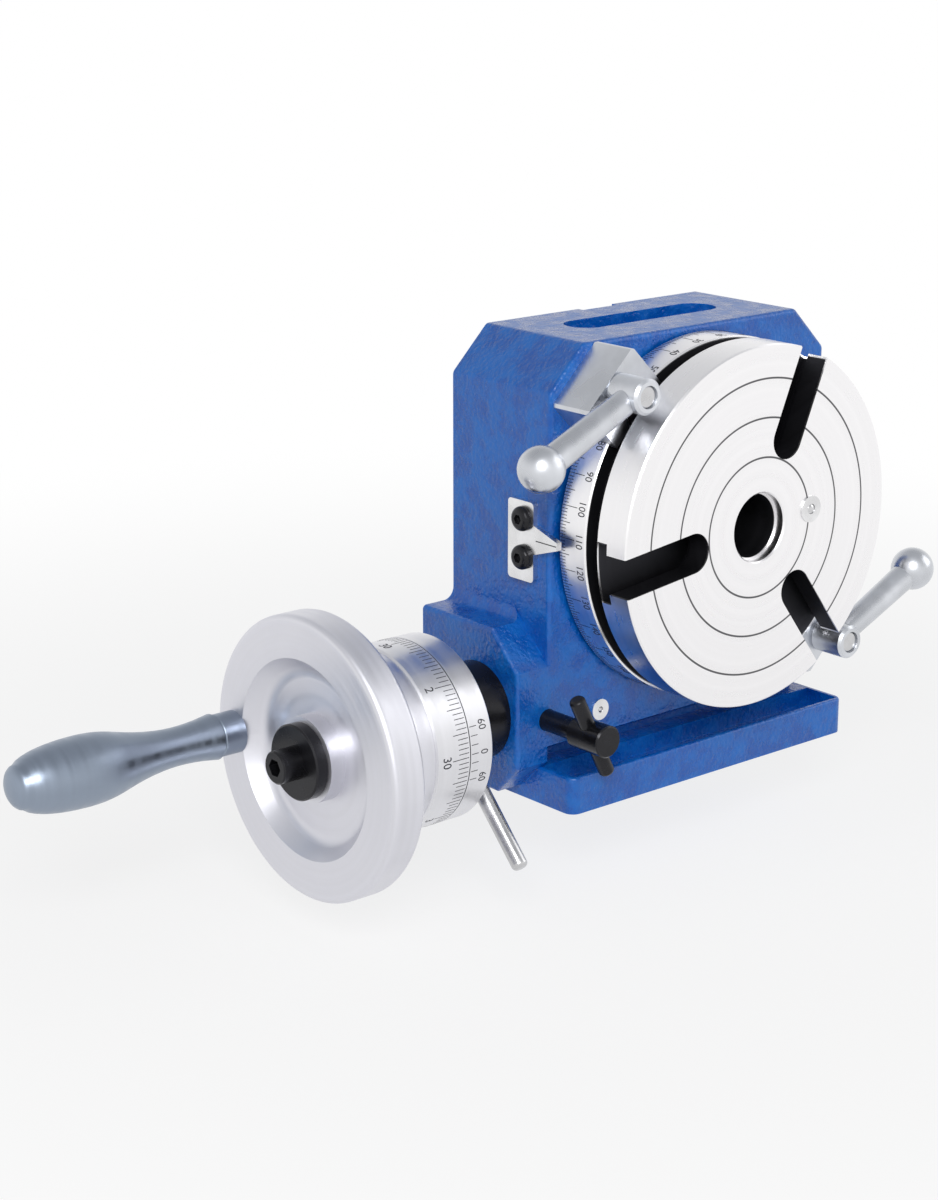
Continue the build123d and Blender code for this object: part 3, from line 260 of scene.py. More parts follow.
def noise(tree, vector, scale, detail=2.0, roughness=0.5):
    """Noise in space; returns its value."""
    made = tree.nodes.new("ShaderNodeTexNoise")
    feed(tree, made.inputs["Vector"], vector)
    feed(tree, made.inputs["Scale"], scale)
    made.inputs["Detail"].default_value = detail
    made.inputs["Roughness"].default_value = roughness
    return made.outputs["Fac"]


def line_noise(tree, place, scale, detail=1.0):
    """Noise along one measure; returns its value."""
    made = tree.nodes.new("ShaderNodeTexNoise")
    made.noise_dimensions = "1D"
    feed(tree, made.inputs["W"], place)
    feed(tree, made.inputs["Scale"], scale)
    made.inputs["Detail"].default_value = detail
    return made.outputs["Fac"]


def blend_colours(tree, factor, first, second):
    """Mixes two colours; each is a socket or a linear colour."""
    made = tree.nodes.new("ShaderNodeMix")
    made.data_type = "RGBA"
    feed(tree, made.inputs[0], factor)
    feed(tree, made.inputs[6], first if isinstance(first, bpy.types.NodeSocket) else (*first, 1.0))
    feed(tree, made.inputs[7], second if isinstance(second, bpy.types.NodeSocket) else (*second, 1.0))
    return made.outputs[2]


def start_group(name, inputs, outputs):
    """A shader node group with its sockets; returns the group, its input node and its output node."""
    group = bpy.data.node_groups.new(name, "ShaderNodeTree")
    for label, kind, value in inputs:
        socket = group.interface.new_socket(name=label, in_out="INPUT", socket_type=kind)
        socket.default_value = value
    for label, kind in outputs:
        group.interface.new_socket(name=label, in_out="OUTPUT", socket_type=kind)
    return group, group.nodes.new("NodeGroupInput"), group.nodes.new("NodeGroupOutput")


def cast_skin_group():
    """Leathery skin of thick enamel on sand-cast iron."""
    group, given, result = start_group(
        "Cast skin",
        [("Vector", "NodeSocketVector", (0, 0, 0)), ("Grain", "NodeSocketFloat", 0.0015)],
        [("Height", "NodeSocketFloat"), ("Tone", "NodeSocketFloat")],
    )
    scale = calc(group, "DIVIDE", 1.0, given.outputs["Grain"])
    dimples = noise(group, given.outputs["Vector"], scale, 1.5, 0.4)
    swells = noise(group, given.outputs["Vector"], calc(group, "MULTIPLY", scale, 0.22), 2.0)
    pits = noise(group, given.outputs["Vector"], calc(group, "MULTIPLY", scale, 2.6), 1.0)
    height = calc(group, "MULTIPLY_ADD", swells, 0.9, dimples)
    link(group, calc(group, "MULTIPLY_ADD", pits, 0.25, height), result.inputs["Height"])
    link(group, spread(group, swells, 0.3, 0.7), result.inputs["Tone"])
    return group


def turned_group():
    """Marks of a turning tool, ring by ring round the local Z axis."""
    group, given, result = start_group(
        "Turned marks",
        [("Vector", "NodeSocketVector", (0, 0, 0)), ("Pitch", "NodeSocketFloat", 0.0002)],
        [("Height", "NodeSocketFloat"), ("Tone", "NodeSocketFloat"), ("Radius", "NodeSocketFloat")],
    )
    parts = group.nodes.new("ShaderNodeSeparateXYZ")
    link(group, given.outputs["Vector"], parts.inputs[0])
    square = calc(group, "MULTIPLY", parts.outputs["X"], parts.outputs["X"])
    radius = calc(group, "SQRT", calc(group, "MULTIPLY_ADD", parts.outputs["Y"], parts.outputs["Y"], square))
    feed_line = calc(group, "ADD", radius, parts.outputs["Z"])
    fine = calc(group, "DIVIDE", 1.0, given.outputs["Pitch"])
    link(group, line_noise(group, feed_line, fine, 2.0), result.inputs["Height"])
    bands = line_noise(group, feed_line, calc(group, "MULTIPLY", fine, 0.07), 2.0)
    link(group, spread(group, bands, 0.25, 0.75), result.inputs["Tone"])
    link(group, radius, result.inputs["Radius"])
    return group


def scribed_ring_group():
    """Mask of one scribed circle at a radius."""
    group, given, result = start_group(
        "Scribed ring",
        [
            ("Radius", "NodeSocketFloat", 0.0),
            ("Ring", "NodeSocketFloat", 0.03),
            ("Width", "NodeSocketFloat", 0.0003),
        ],
        [("Mask", "NodeSocketFloat")],
    )
    gap = calc(group, "ABSOLUTE", calc(group, "SUBTRACT", given.outputs["Radius"], given.outputs["Ring"]))
    half = calc(group, "MULTIPLY", given.outputs["Width"], 0.5)
    link(group, spread(group, gap, half, calc(group, "MULTIPLY", half, 1.5), 1.0, 0.0), result.inputs["Mask"])
    return group


def edge_group():
    """Mask of the edges: on the enamel it lays a painted highlight, on bare metal it marks edges rubbed bright
    by wear.
    """
    group, given, result = start_group(
        "Edge wear and painted highlight",
        [
            ("Vector", "NodeSocketVector", (0, 0, 0)),
            ("Reach", "NodeSocketFloat", 0.0006),
            ("Amount", "NodeSocketFloat", 0.5),
        ],
        [("Mask", "NodeSocketFloat")],
    )
    rounded = group.nodes.new("ShaderNodeBevel")
    rounded.samples = 4
    link(group, given.outputs["Reach"], rounded.inputs["Radius"])
    flat = group.nodes.new("ShaderNodeNewGeometry")
    likeness = group.nodes.new("ShaderNodeVectorMath")
    likeness.operation = "DOT_PRODUCT"
    link(group, rounded.outputs[0], likeness.inputs[0])
    link(group, flat.outputs["Normal"], likeness.inputs[1])
    edge = spread(group, likeness.outputs["Value"], 0.99, 0.8)
    patch = spread(group, noise(group, given.outputs["Vector"], 160.0, 3.0), 0.4, 0.65)
    link(group, calc(group, "MULTIPLY", calc(group, "MULTIPLY", edge, patch), given.outputs["Amount"]),
         result.inputs["Mask"])
    return group


def fine_grain_group():
    """Fine clouding of a satin or oxidised metal surface."""
    group, given, result = start_group(
        "Fine grain",
        [("Vector", "NodeSocketVector", (0, 0, 0)), ("Size", "NodeSocketFloat", 0.0005)],
        [("Height", "NodeSocketFloat"), ("Cloud", "NodeSocketFloat")],
    )
    scale = calc(group, "DIVIDE", 1.0, given.outputs["Size"])
    link(group, noise(group, given.outputs["Vector"], scale, 2.0), result.inputs["Height"])
    cloud = noise(group, given.outputs["Vector"], calc(group, "MULTIPLY", scale, 0.06), 3.0)
    link(group, spread(group, cloud, 0.3, 0.7), result.inputs["Cloud"])
    return group


def effect(name):
    """The node group of an effect, made when it is first needed."""
    makers = {
        "Cast skin": cast_skin_group,
        "Turned marks": turned_group,
        "Scribed ring": scribed_ring_group,
        "Edge wear and painted highlight": edge_group,
        "Fine grain": fine_grain_group,
    }
    return bpy.data.node_groups.get(name) or makers[name]()


def place_effect(tree, name, **values):
    """Puts an effect in a material; returns its node."""
    made = tree.nodes.new("ShaderNodeGroup")
    made.node_tree = effect(name)
    for label, value in values.items():
        feed(tree, made.inputs[label], value)
    return made


def start_material(name, roughness, metallic):
    """A material with its shader and its object coordinates."""
    made = bpy.data.materials.new(name)
    made.use_nodes = True
    tree = made.node_tree
    shader = tree.nodes["Principled BSDF"]
    shader.inputs["Roughness"].default_value = roughness
    shader.inputs["Metallic"].default_value = metallic
    place = tree.nodes.new("ShaderNodeTexCoord").outputs["Object"]
    return made, tree, shader, place


def centred(tree, place, centre, axis):
    """Object coordinates moved so that a turning axis is the local Z axis."""
    made = tree.nodes.new("ShaderNodeMapping")
    made.vector_type = "TEXTURE"
    link(tree, place, made.inputs["Vector"])
    made.inputs["Location"].default_value = centre
    turn = (0, math.radians(90), 0) if axis == "X" else (math.radians(-90), 0, 0)
    made.inputs["Rotation"].default_value = turn if axis != "Z" else (0, 0, 0)
    return made.outputs["Vector"]


def add_bump(tree, shader, height, depth, strength=1.0):
    """Relief from a height that is 0 to 1, with the depth that 1 stands for."""
    made = tree.nodes.new("ShaderNodeBump")
    made.inputs["Strength"].default_value = strength
    made.inputs["Distance"].default_value = depth
    link(tree, height, made.inputs["Height"])
    link(tree, made.outputs["Normal"], shader.inputs["Normal"])


def enamel(settings):
    """Blue enamel on the castings, paler along its edges as a painted highlight."""
    made, tree, shader, place = start_material("blue enamel", settings.paint_roughness, 0.0)
    skin = place_effect(tree, "Cast skin", Vector=place, Grain=settings.paint_grain)
    edge = place_effect(tree, "Edge wear and painted highlight", Vector=place, Reach=0.0009, Amount=0.55)
    thin = calc(tree, "MULTIPLY", skin.outputs["Tone"], 0.35)
    tone = blend_colours(tree, thin, settings.paint, settings.paint_edge)
    # Painted highlight: the enamel's edges are blended to the pale blue, as if light catches them.
    edge_highlit = blend_colours(tree, edge.outputs["Mask"], tone, settings.paint_edge)
    link(tree, edge_highlit, shader.inputs["Base Color"])
    link(tree, spread(tree, skin.outputs["Tone"], 0.0, 1.0, 0.22, 0.36), shader.inputs["Roughness"])
    shader.inputs["Coat Weight"].default_value = 0.15
    shader.inputs["Coat Roughness"].default_value = 0.2
    add_bump(tree, shader, skin.outputs["Height"], 0.00034, 0.85)
    return made


def turned_metal(
    name, settings, colour, centre, axis, low, high, banding=0.05, depth=0.000002, recess=None
):
    """A metal turned round an axis; its roughness runs from low to high over the tool marks."""
    made, tree, shader, place = start_material(name, low, 1.0)
    local = centred(tree, place, centre, axis)
    marks = place_effect(tree, "Turned marks", Vector=local, Pitch=settings.tool_pitch)
    grain = place_effect(tree, "Fine grain", Vector=place, Size=0.0004)
    darker = tuple(value * (1 - banding) for value in colour)
    tone = blend_colours(tree, marks.outputs["Tone"], darker, colour)
    wear = calc(tree, "MULTIPLY_ADD", grain.outputs["Cloud"], 0.4, marks.outputs["Tone"])
    rough = spread(tree, wear, 0.0, 1.4, low, high)
    if recess is not None:
        tone, rough = recess(tree, local, marks, tone, rough)
    link(tree, tone, shader.inputs["Base Color"])
    link(tree, rough, shader.inputs["Roughness"])
    add_bump(tree, shader, marks.outputs["Height"], depth, 0.6)
    return made


def ground_plate(settings):
    """The table plate: ground face and rims, scribed circles, and painted shade in the slots, the groove and
    the bore.
    """

    def recess(tree, local, marks, tone, rough):
        parts = tree.nodes.new("ShaderNodeSeparateXYZ")
        link(tree, local, parts.inputs[0])
        depth = calc(tree, "SUBTRACT", calc(tree, "ABSOLUTE", parts.outputs["Z"]), -plate_low.y)
        under = spread(tree, depth, -0.00025, -0.0006)
        inside = spread(tree, marks.outputs["Radius"], TABLE_RADIUS - 0.0004, TABLE_RADIUS - 0.0008)
        beyond_bore = spread(tree, marks.outputs["Radius"], BORE_RADIUS - 0.0002, BORE_RADIUS + 0.0002)
        # Painted shade: the slots and the groove darken below the face inside the rim, and the bore darkens
        # past its pilot; the scribed circles are real dark lines.
        dark = calc(tree, "MULTIPLY", calc(tree, "MULTIPLY", under, inside), beyond_bore)
        past_pilot = spread(tree, depth, 0.0001 - PILOT_DEPTH, -0.0004 - PILOT_DEPTH)
        taper = calc(tree, "MULTIPLY", calc(tree, "SUBTRACT", 1.0, beyond_bore), past_pilot)
        dark = calc(tree, "MAXIMUM", dark, taper)
        for ring in SCRIBED_CIRCLES:
            line = place_effect(
                tree, "Scribed ring", Radius=marks.outputs["Radius"], Ring=ring, Width=SCRIBED_WIDTH
            )
            dark = calc(tree, "MAXIMUM", dark, calc(tree, "MULTIPLY", line.outputs["Mask"], 0.9))
        rough = calc(tree, "MULTIPLY_ADD", dark, 0.25, rough)
        return blend_colours(tree, dark, tone, settings.recess), rough

    return turned_metal(
        "ground steel", settings, settings.ground, TABLE_CENTRE, "Y", 0.26, 0.34, banding=0.03, recess=recess
    )


def plain_metal(name, colour, low, high, size=0.0005, depth=0.000008, metallic=1.0, edge_colour=None):
    """A cast, drawn or oxidised metal with fine clouding and rubbed edges."""
    made, tree, shader, place = start_material(name, low, metallic)
    grain = place_effect(tree, "Fine grain", Vector=place, Size=size)
    darker = tuple(value * 0.8 for value in colour)
    tone = blend_colours(tree, grain.outputs["Cloud"], darker, colour)
    edge = place_effect(tree, "Edge wear and painted highlight", Vector=place, Reach=0.0003, Amount=0.5)
    bright = edge_colour or tuple(min(1.0, value * 1.15) for value in colour)
    link(tree, blend_colours(tree, edge.outputs["Mask"], tone, bright), shader.inputs["Base Color"])
    link(tree, spread(tree, grain.outputs["Cloud"], 0.0, 1.0, low, high), shader.inputs["Roughness"])
    add_bump(tree, shader, grain.outputs["Height"], depth, 0.6)
    return made


def marking_ink(settings):
    """Dark filling of engraved lines and figures."""
    made, tree, shader, place = start_material("marking ink", 0.55, 0.0)
    grain = place_effect(tree, "Fine grain", Vector=place, Size=0.0003)
    paler = tuple(value * 3.0 for value in settings.ink)
    link(tree, blend_colours(tree, grain.outputs["Cloud"], settings.ink, paler), shader.inputs["Base Color"])
    add_bump(tree, shader, grain.outputs["Height"], 0.000004, 0.5)
    return made


def finish(name):
    """The material of a finish, made when it is first needed."""
    known = bpy.data.materials.get(name)
    if known is not None:
        return known
    settings = bpy.context.scene.rotary_finish
    makers = {
        "blue enamel": lambda: enamel(settings),
        "ground steel": lambda: ground_plate(settings),
        "satin chrome": lambda: turned_metal(
            "satin chrome", settings, settings.satin, WORM_CENTRE, "X", 0.28, 0.4),
        "turned aluminium": lambda: turned_metal(
            "turned aluminium", settings, settings.aluminium, WORM_CENTRE, "X", 0.34, 0.48),
        "grip alloy": lambda: turned_metal(
            "grip alloy", settings, settings.grip, HANDLE_CENTRE, "X", 0.3, 0.42),
        "lever metal": lambda: plain_metal("lever metal", settings.lever, 0.26, 0.4, 0.0008, 0.00002),
        "bare steel": lambda: plain_metal("bare steel", settings.bare, 0.2, 0.34),
        "black oxide": lambda: plain_metal(
            "black oxide", settings.oxide, 0.2, 0.34, metallic=0.55, edge_colour=(0.16, 0.16, 0.17)),
        "bronze": lambda: plain_metal("bronze", settings.bronze, 0.3, 0.42),
        "bright plate": lambda: plain_metal("bright plate", settings.plated, 0.24, 0.34),
        "polished ball": lambda: plain_metal("polished ball", settings.bare, 0.08, 0.14, 0.0008, 0.000002),
        "marking ink": lambda: marking_ink(settings),
    }
    return makers[name]()


def dress(node, name):
    """Gives a node of the frame its finish."""
    slots = frame["nodes"][node].data.materials
    slots.clear()
    slots.append(finish(name))


def cylinder_place(centre, axis, radius, angle, along):
    """Matrix that lays a flat mark on a cylinder: local X round it, local Y along it, local Z outwards."""
    s, c = math.sin(angle), math.cos(angle)
    if axis == "Y":
        columns = (Vector((-s, 0, c)), Vector((0, -1, 0)), Vector((c, 0, s)))
        spot = Vector((centre.x + radius * c, along, centre.z + radius * s))
    else:
        columns = (Vector((0, -s, c)), Vector((1, 0, 0)), Vector((0, c, s)))
        spot = Vector((along, centre.y + radius * c, centre.z + radius * s))
    turned = Matrix(columns).transposed().to_4x4()
    return Matrix.Translation(spot) @ turned


def settle(obj, matrix):
    """Puts an object at a place and moves that place into its mesh."""
    deselect_all()
    obj.matrix_world = matrix
    obj.select_set(True)
    bpy.context.view_layer.objects.active = obj
    bpy.ops.object.transform_apply(location=True, rotation=True, scale=True)


def add_line(name, matrix, width, length, height):
    """One engraved line: a thin bar with softened ends, its foot just under the surface."""
    deselect_all()
    bpy.ops.mesh.primitive_cube_add(size=1.0)
    line = bpy.context.object
    line.name = name
    line.scale = (width, length, 2 * height)
    bpy.ops.object.transform_apply(location=False, rotation=False, scale=True)
    bpy.ops.object.mode_set(mode="EDIT")
    bpy.ops.mesh.select_all(action="DESELECT")
    bpy.ops.object.mode_set(mode="OBJECT")
    for edge in line.data.edges:
        ends = [line.data.vertices[index].co for index in edge.vertices]
        edge.select = abs(ends[0].z - ends[1].z) > height
    bpy.ops.object.mode_set(mode="EDIT")
    bpy.ops.mesh.select_mode(type="EDGE")
    bpy.ops.mesh.bevel(offset=min(width, length) * 0.3, segments=1)
    bpy.ops.object.mode_set(mode="OBJECT")
    settle(line, matrix)
    return line


def repeat_round(obj, centre, axis, count, step):
    """Copies a mark round an axis, count marks in all."""
    deselect_all()
    obj.select_set(True)
    bpy.context.view_layer.objects.active = obj
    bpy.ops.object.mode_set(mode="EDIT")
    bpy.ops.mesh.select_all(action="SELECT")
    bpy.ops.mesh.spin(steps=count - 1, dupli=True, angle=step * (count - 1), center=centre, axis=axis)
    bpy.ops.object.mode_set(mode="OBJECT")


def add_figure(text, matrix, height, narrow, thickness):
    """A figure as a thin mesh on a surface."""
    deselect_all()
    bpy.ops.object.text_add()
    figure = bpy.context.object
    figure.data.body = text
    figure.data.align_x = "CENTER"
    figure.data.align_y = "CENTER"
    figure.data.size = height / 0.7
    figure.data.extrude = thickness
    figure.data.resolution_u = 3
    bpy.ops.object.convert(target="MESH")
    settle(figure, matrix @ Matrix.Diagonal((narrow, 1.0, 1.0, 1.0)))
    return figure


def join_marks(name, parts, body):
    """Joins marks into one piece that rides on a body."""
    deselect_all()
    for part in parts:
        part.select_set(True)
    bpy.context.view_layer.objects.active = parts[0]
    bpy.ops.object.join()
    piece = bpy.context.object
    piece.name = name
    piece.data.name = name
    piece.data.materials.clear()
    piece.data.materials.append(finish("marking ink"))
    deselect_all()
    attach(piece, body)
    return piece


class DressCastings(bpy.types.Operator):
    """Blue enamel on the body casting and the rear cover"""

    bl_idname = "rotary.dress_castings"
    bl_label = "Castings"

    def execute(self, context):
        for node in ("body_casting", "rear_cover"):
            dress(node, "blue enamel")
        return {"FINISHED"}


class DressTable(bpy.types.Operator):
    """Ground table plate with its scribed circles, and the oiler in its face"""

    bl_idname = "rotary.dress_table"
    bl_label = "Table plate"

    def execute(self, context):
        dress("table_plate", "ground steel")
        dress("table_oiler", "bright plate")
        dress("table_oiler_ball", "polished ball")
        return {"FINISHED"}


class DressGearing(bpy.types.Operator):
    """Worm wheel, worm shaft, bushes and the screws behind the table"""

    bl_idname = "rotary.dress_gearing"
    bl_label = "Worm gearing"

    def execute(self, context):
        for node in ("worm_wheel", "table_bush", "rear_bush", "worm_bushes"):
            dress(node, "bronze")
        for node in ("worm_shaft", "worm_thrust_plug", "handwheel_key"):
            dress(node, "bare steel")
        for node in ("worm_wheel_screws", "rear_cover_screws"):
            dress(node, "black oxide")
        return {"FINISHED"}


class DressSleeve(bpy.types.Operator):
    """Eccentric sleeve with its pin, stop and lock, and the worm's oiler"""

    bl_idname = "rotary.dress_sleeve"
    bl_label = "Sleeve and lock"

    def execute(self, context):
        for node in ("eccentric_sleeve", "sleeve_stop_screw", "lock_screw"):
            dress(node, "black oxide")
        dress("release_pin", "bare steel")
        dress("lock_bar", "black oxide")
        dress("body_oiler", "bright plate")
        dress("body_oiler_ball", "polished ball")
        return {"FINISHED"}


class DressDials(bpy.types.Operator):
    """Satin chrome on the vernier ring and the graduated dial"""

    bl_idname = "rotary.dress_dials"
    bl_label = "Dial and vernier ring"

    def execute(self, context):
        for node in ("vernier_ring", "graduated_dial"):
            dress(node, "satin chrome")
        return {"FINISHED"}


class DressHandwheel(bpy.types.Operator):
    """Handwheel, its black washer and screw, the spindle and the grip"""

    bl_idname = "rotary.dress_handwheel"
    bl_label = "Handwheel and grip"

    def execute(self, context):
        dress("handwheel", "turned aluminium")
        for node in ("handwheel_washer", "handwheel_screw"):
            dress(node, "black oxide")
        dress("handle_spindle", "grip alloy")
        dress("handle_grip", "grip alloy")
        return {"FINISHED"}


def eased(steps, start, end, rise):
    """Points of one stretch of the outline; rise shapes the way from the first radius to the last."""
    points = []
    for index in range(1, steps + 1):
        share = index / steps
        points.append((start[0] + (end[0] - start[0]) * share, start[1] + (end[1] - start[1]) * rise(share)))
    return points


def grip_outline(grip):
    """Distance and radius of each ring of the grip's outside, from the collar to just before the tip."""
    end = (0.0, grip.end_radius)
    neck = (grip.neck_at, grip.neck_radius)
    swell = (grip.swell_at, grip.swell_radius)
    belly = (grip.belly_at, grip.belly_radius)
    nose = (grip.nose_at, grip.nose_radius)
    points = [end]
    points += eased(grip.steps, end, neck, lambda share: 1 - (1 - share) ** 2)
    points += eased(grip.steps, neck, swell, lambda share: share ** 1.8)
    points += eased(grip.steps, swell, belly, lambda share: 1 - (1 - share) ** 2)
    points += eased(2 * grip.steps, belly, nose, lambda share: 1 - math.sqrt(max(0.0, 1 - 0.93 * share ** 2.2)))
    drop = points[-1][1]
    tip = grip.length - grip.nose_at
    for index in range(1, grip.steps):
        turn = math.radians(90) * index / grip.steps
        points.append((grip.nose_at + tip * math.sin(turn), drop * math.cos(turn)))
    return points


class ModelGrip(bpy.types.Operator):
    """Revolving grip with its waist and its rounded tip, hollow for the spindle and its head"""

    bl_idname = "rotary.model_grip"
    bl_label = "Grip"

    def execute(self, context):
        grip = context.scene.rotary_grip
        _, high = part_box("handle_grip")
        spindle_low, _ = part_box("handle_spindle")
        outside = grip_outline(grip)
        bore = SPINDLE_RADIUS + grip.clearance
        head = SPINDLE_HEAD_RADIUS + grip.clearance
        head_back = high.x - spindle_low.x - SPINDLE_HEAD_LENGTH - grip.clearance
        head_front = high.x - spindle_low.x + grip.clearance
        inside = [(0.0, bore), (head_back, bore), (head_back, head), (head_front, head)]
        rings = outside[::-1] + inside
        deselect_all()
        bpy.ops.mesh.primitive_circle_add(
            vertices=grip.sides, radius=rings[0][1], location=(0, 0, 0), rotation=(0, math.radians(90), 0)
        )
        piece = context.object
        piece.name = "grip_turned"
        bpy.ops.object.transform_apply(location=False, rotation=True, scale=False)
        bpy.ops.object.mode_set(mode="EDIT")
        bpy.ops.mesh.select_all(action="SELECT")
        bpy.ops.transform.translate(value=(-rings[0][0], 0, 0))
        bpy.ops.mesh.edge_face_add()
        place, radius = rings[0]
        for next_place, next_radius in rings[1:]:
            bpy.ops.mesh.extrude_region_move(TRANSFORM_OT_translate={"value": (place - next_place, 0, 0)})
            ratio = next_radius / radius
            bpy.ops.transform.resize(value=(1, ratio, ratio), center_override=(-next_place, 0, 0))
            place, radius = next_place, next_radius
        bpy.ops.mesh.select_all(action="SELECT")
        bpy.ops.mesh.normals_make_consistent(inside=False)
        bpy.ops.object.mode_set(mode="OBJECT")
        bpy.ops.object.shade_smooth_by_angle(angle=math.radians(35))
        settle(piece, Matrix.Translation((high.x, HANDLE_CENTRE.y, HANDLE_CENTRE.z)))
        piece.data.materials.append(finish("grip alloy"))
        deselect_all()
        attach(piece, "grip")
        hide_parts("handle_grip")
        return {"FINISHED"}


class DressClamps(bpy.types.Operator):
    """Table clamps: blocks, studs, nuts and levers"""

    bl_idname = "rotary.dress_clamps"
    bl_label = "Table clamps"

    def execute(self, context):
        for node in CLAMP_METAL:
            dress(node, "lever metal")
        dress("clamp_studs", "bare steel")
        return {"FINISHED"}


class DressIndex(bpy.types.Operator):
    """Index plate with the line on its pointer, its screws and the mark on the plate's rim"""

    bl_idname = "rotary.dress_index"
    bl_label = "Index plate"

    def execute(self, context):
        scales = context.scene.rotary_scales
        dress("index_plate", "bright plate")
        dress("index_plate_screws", "black oxide")
        width, length, setback = POINTER_LINE
        side = Matrix((
            (0.0, 0.0, -1.0, pointer_low.x),
            (1.0, 0.0, 0.0, pointer_low.y + setback),
            (0.0, -1.0, 0.0, POINTER_HEIGHT),
            (0.0, 0.0, 0.0, 1.0),
        ))
        line = add_line("pointer_line", side, length, width, scales.line_height)
        join_marks("pointer_line", [line], "body")
        width, length, along = RIM_MARK
        rim = cylinder_place(TABLE_CENTRE, "Y", TABLE_RADIUS, RIM_MARK_ANGLE, along)
        mark = add_line("rim_mark", rim, width, length, scales.line_height)
        join_marks("rim_mark", [mark], "table")
        return {"FINISHED"}


class EngraveTable(bpy.types.Operator):
    """Degree marks and figures on the table's ring"""

    bl_idname = "rotary.engrave_table"
    bl_label = "Table scale"

    def execute(self, context):
        scales = context.scene.rotary_scales
        edge = frame_ring_back() - scales.table_margin
        marks = []
        for length, count in ((scales.table_short, 360), (scales.table_middle, 72), (scales.table_long, 36)):
            step = 2 * math.pi / count
            place = cylinder_place(TABLE_CENTRE, "Y", TABLE_RADIUS, scales.table_start, edge - length / 2)
            mark = add_line("mark", place, scales.line_width, length, scales.line_height)
            repeat_round(mark, TABLE_CENTRE, (0, 1, 0), count, step)
            marks.append(mark)
        row = edge - scales.table_long - scales.table_figure * 0.5 - 0.0004
        for figure in range(0, 360, 10):
            angle = scales.table_start + math.radians(figure)
            place = cylinder_place(TABLE_CENTRE, "Y", TABLE_RADIUS - 0.00003, angle, row)
            marks.append(add_figure(str(figure), place, scales.table_figure, 0.8, 0.00005))
        join_marks("table_scale", marks, "table")
        return {"FINISHED"}


class EngraveDial(bpy.types.Operator):
    """Minute marks and figures on the dial"""

    bl_idname = "rotary.engrave_dial"
    bl_label = "Dial scale"

    def execute(self, context):
        scales = context.scene.rotary_scales
        edge = dial_high.x - scales.dial_margin
        marks = []
        for length, count in ((scales.dial_short, 120), (scales.dial_middle, 24), (scales.dial_long, 8)):
            step = 2 * math.pi / count
            place = cylinder_place(WORM_CENTRE, "X", DIAL_RADIUS, scales.dial_zero, edge - length / 2)
            mark = add_line("mark", place, scales.line_width, length, scales.line_height)
            repeat_round(mark, WORM_CENTRE, (1, 0, 0), count, step)
            marks.append(mark)
        row = edge - scales.dial_long - scales.dial_figure * 0.5 - 0.0006
        for index, figure in enumerate(("0", "30", "1", "30", "2", "30", "3", "30")):
            angle = scales.dial_zero + math.radians(45 * index)
            place = cylinder_place(WORM_CENTRE, "X", DIAL_RADIUS - 0.00003, angle, row)
            marks.append(add_figure(figure, place, scales.dial_figure, 0.85, 0.00005))
        join_marks("dial_scale", marks, "dial")
        return {"FINISHED"}


class EngraveVernier(bpy.types.Operator):
    """Vernier marks and figures on the sleeve's ring"""

    bl_idname = "rotary.engrave_vernier"
    bl_label = "Vernier scale"

    def execute(self, context):
        scales = context.scene.rotary_scales
        edge = ring_low.x + scales.dial_margin
        marks = []
        for index in range(-3, 4):
            angle = scales.vernier_zero + index * scales.vernier_step
            place = cylinder_place(WORM_CENTRE, "X", DIAL_RADIUS, angle, edge + scales.vernier_mark / 2)
            marks.append(add_line("mark", place, scales.line_width, scales.vernier_mark, scales.line_height))
        row = edge + scales.vernier_mark + scales.vernier_figure * 0.5 + 0.0006
        for index, figure in ((-3, "60"), (0, "0"), (3, "60")):
            angle = scales.vernier_zero + index * scales.vernier_step
            place = cylinder_place(WORM_CENTRE, "X", DIAL_RADIUS - 0.00003, angle, row)
            marks.append(add_figure(figure, place, scales.vernier_figure, 0.85, 0.00005))
        join_marks("vernier_scale", marks, "sleeve")
        return {"FINISHED"}


def frame_ring_back():
    """Rear edge of the graduated ring: the ring lies just in front of the body's thrust boss."""
    bush_low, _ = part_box("table_bush")
    return bush_low.y - 0.0001


def softbox(name, place, target, size, power):
    """A square area lamp that faces a point."""
    deselect_all()
    bpy.ops.object.light_add(type="AREA", location=place)
    lamp = bpy.context.object
    lamp.name = name
    lamp.data.shape = "SQUARE"
    lamp.data.size = size
    lamp.data.energy = power
    lamp.rotation_euler = (Vector(target) - Vector(place)).to_track_quat("-Z", "Y").to_euler()
    return lamp


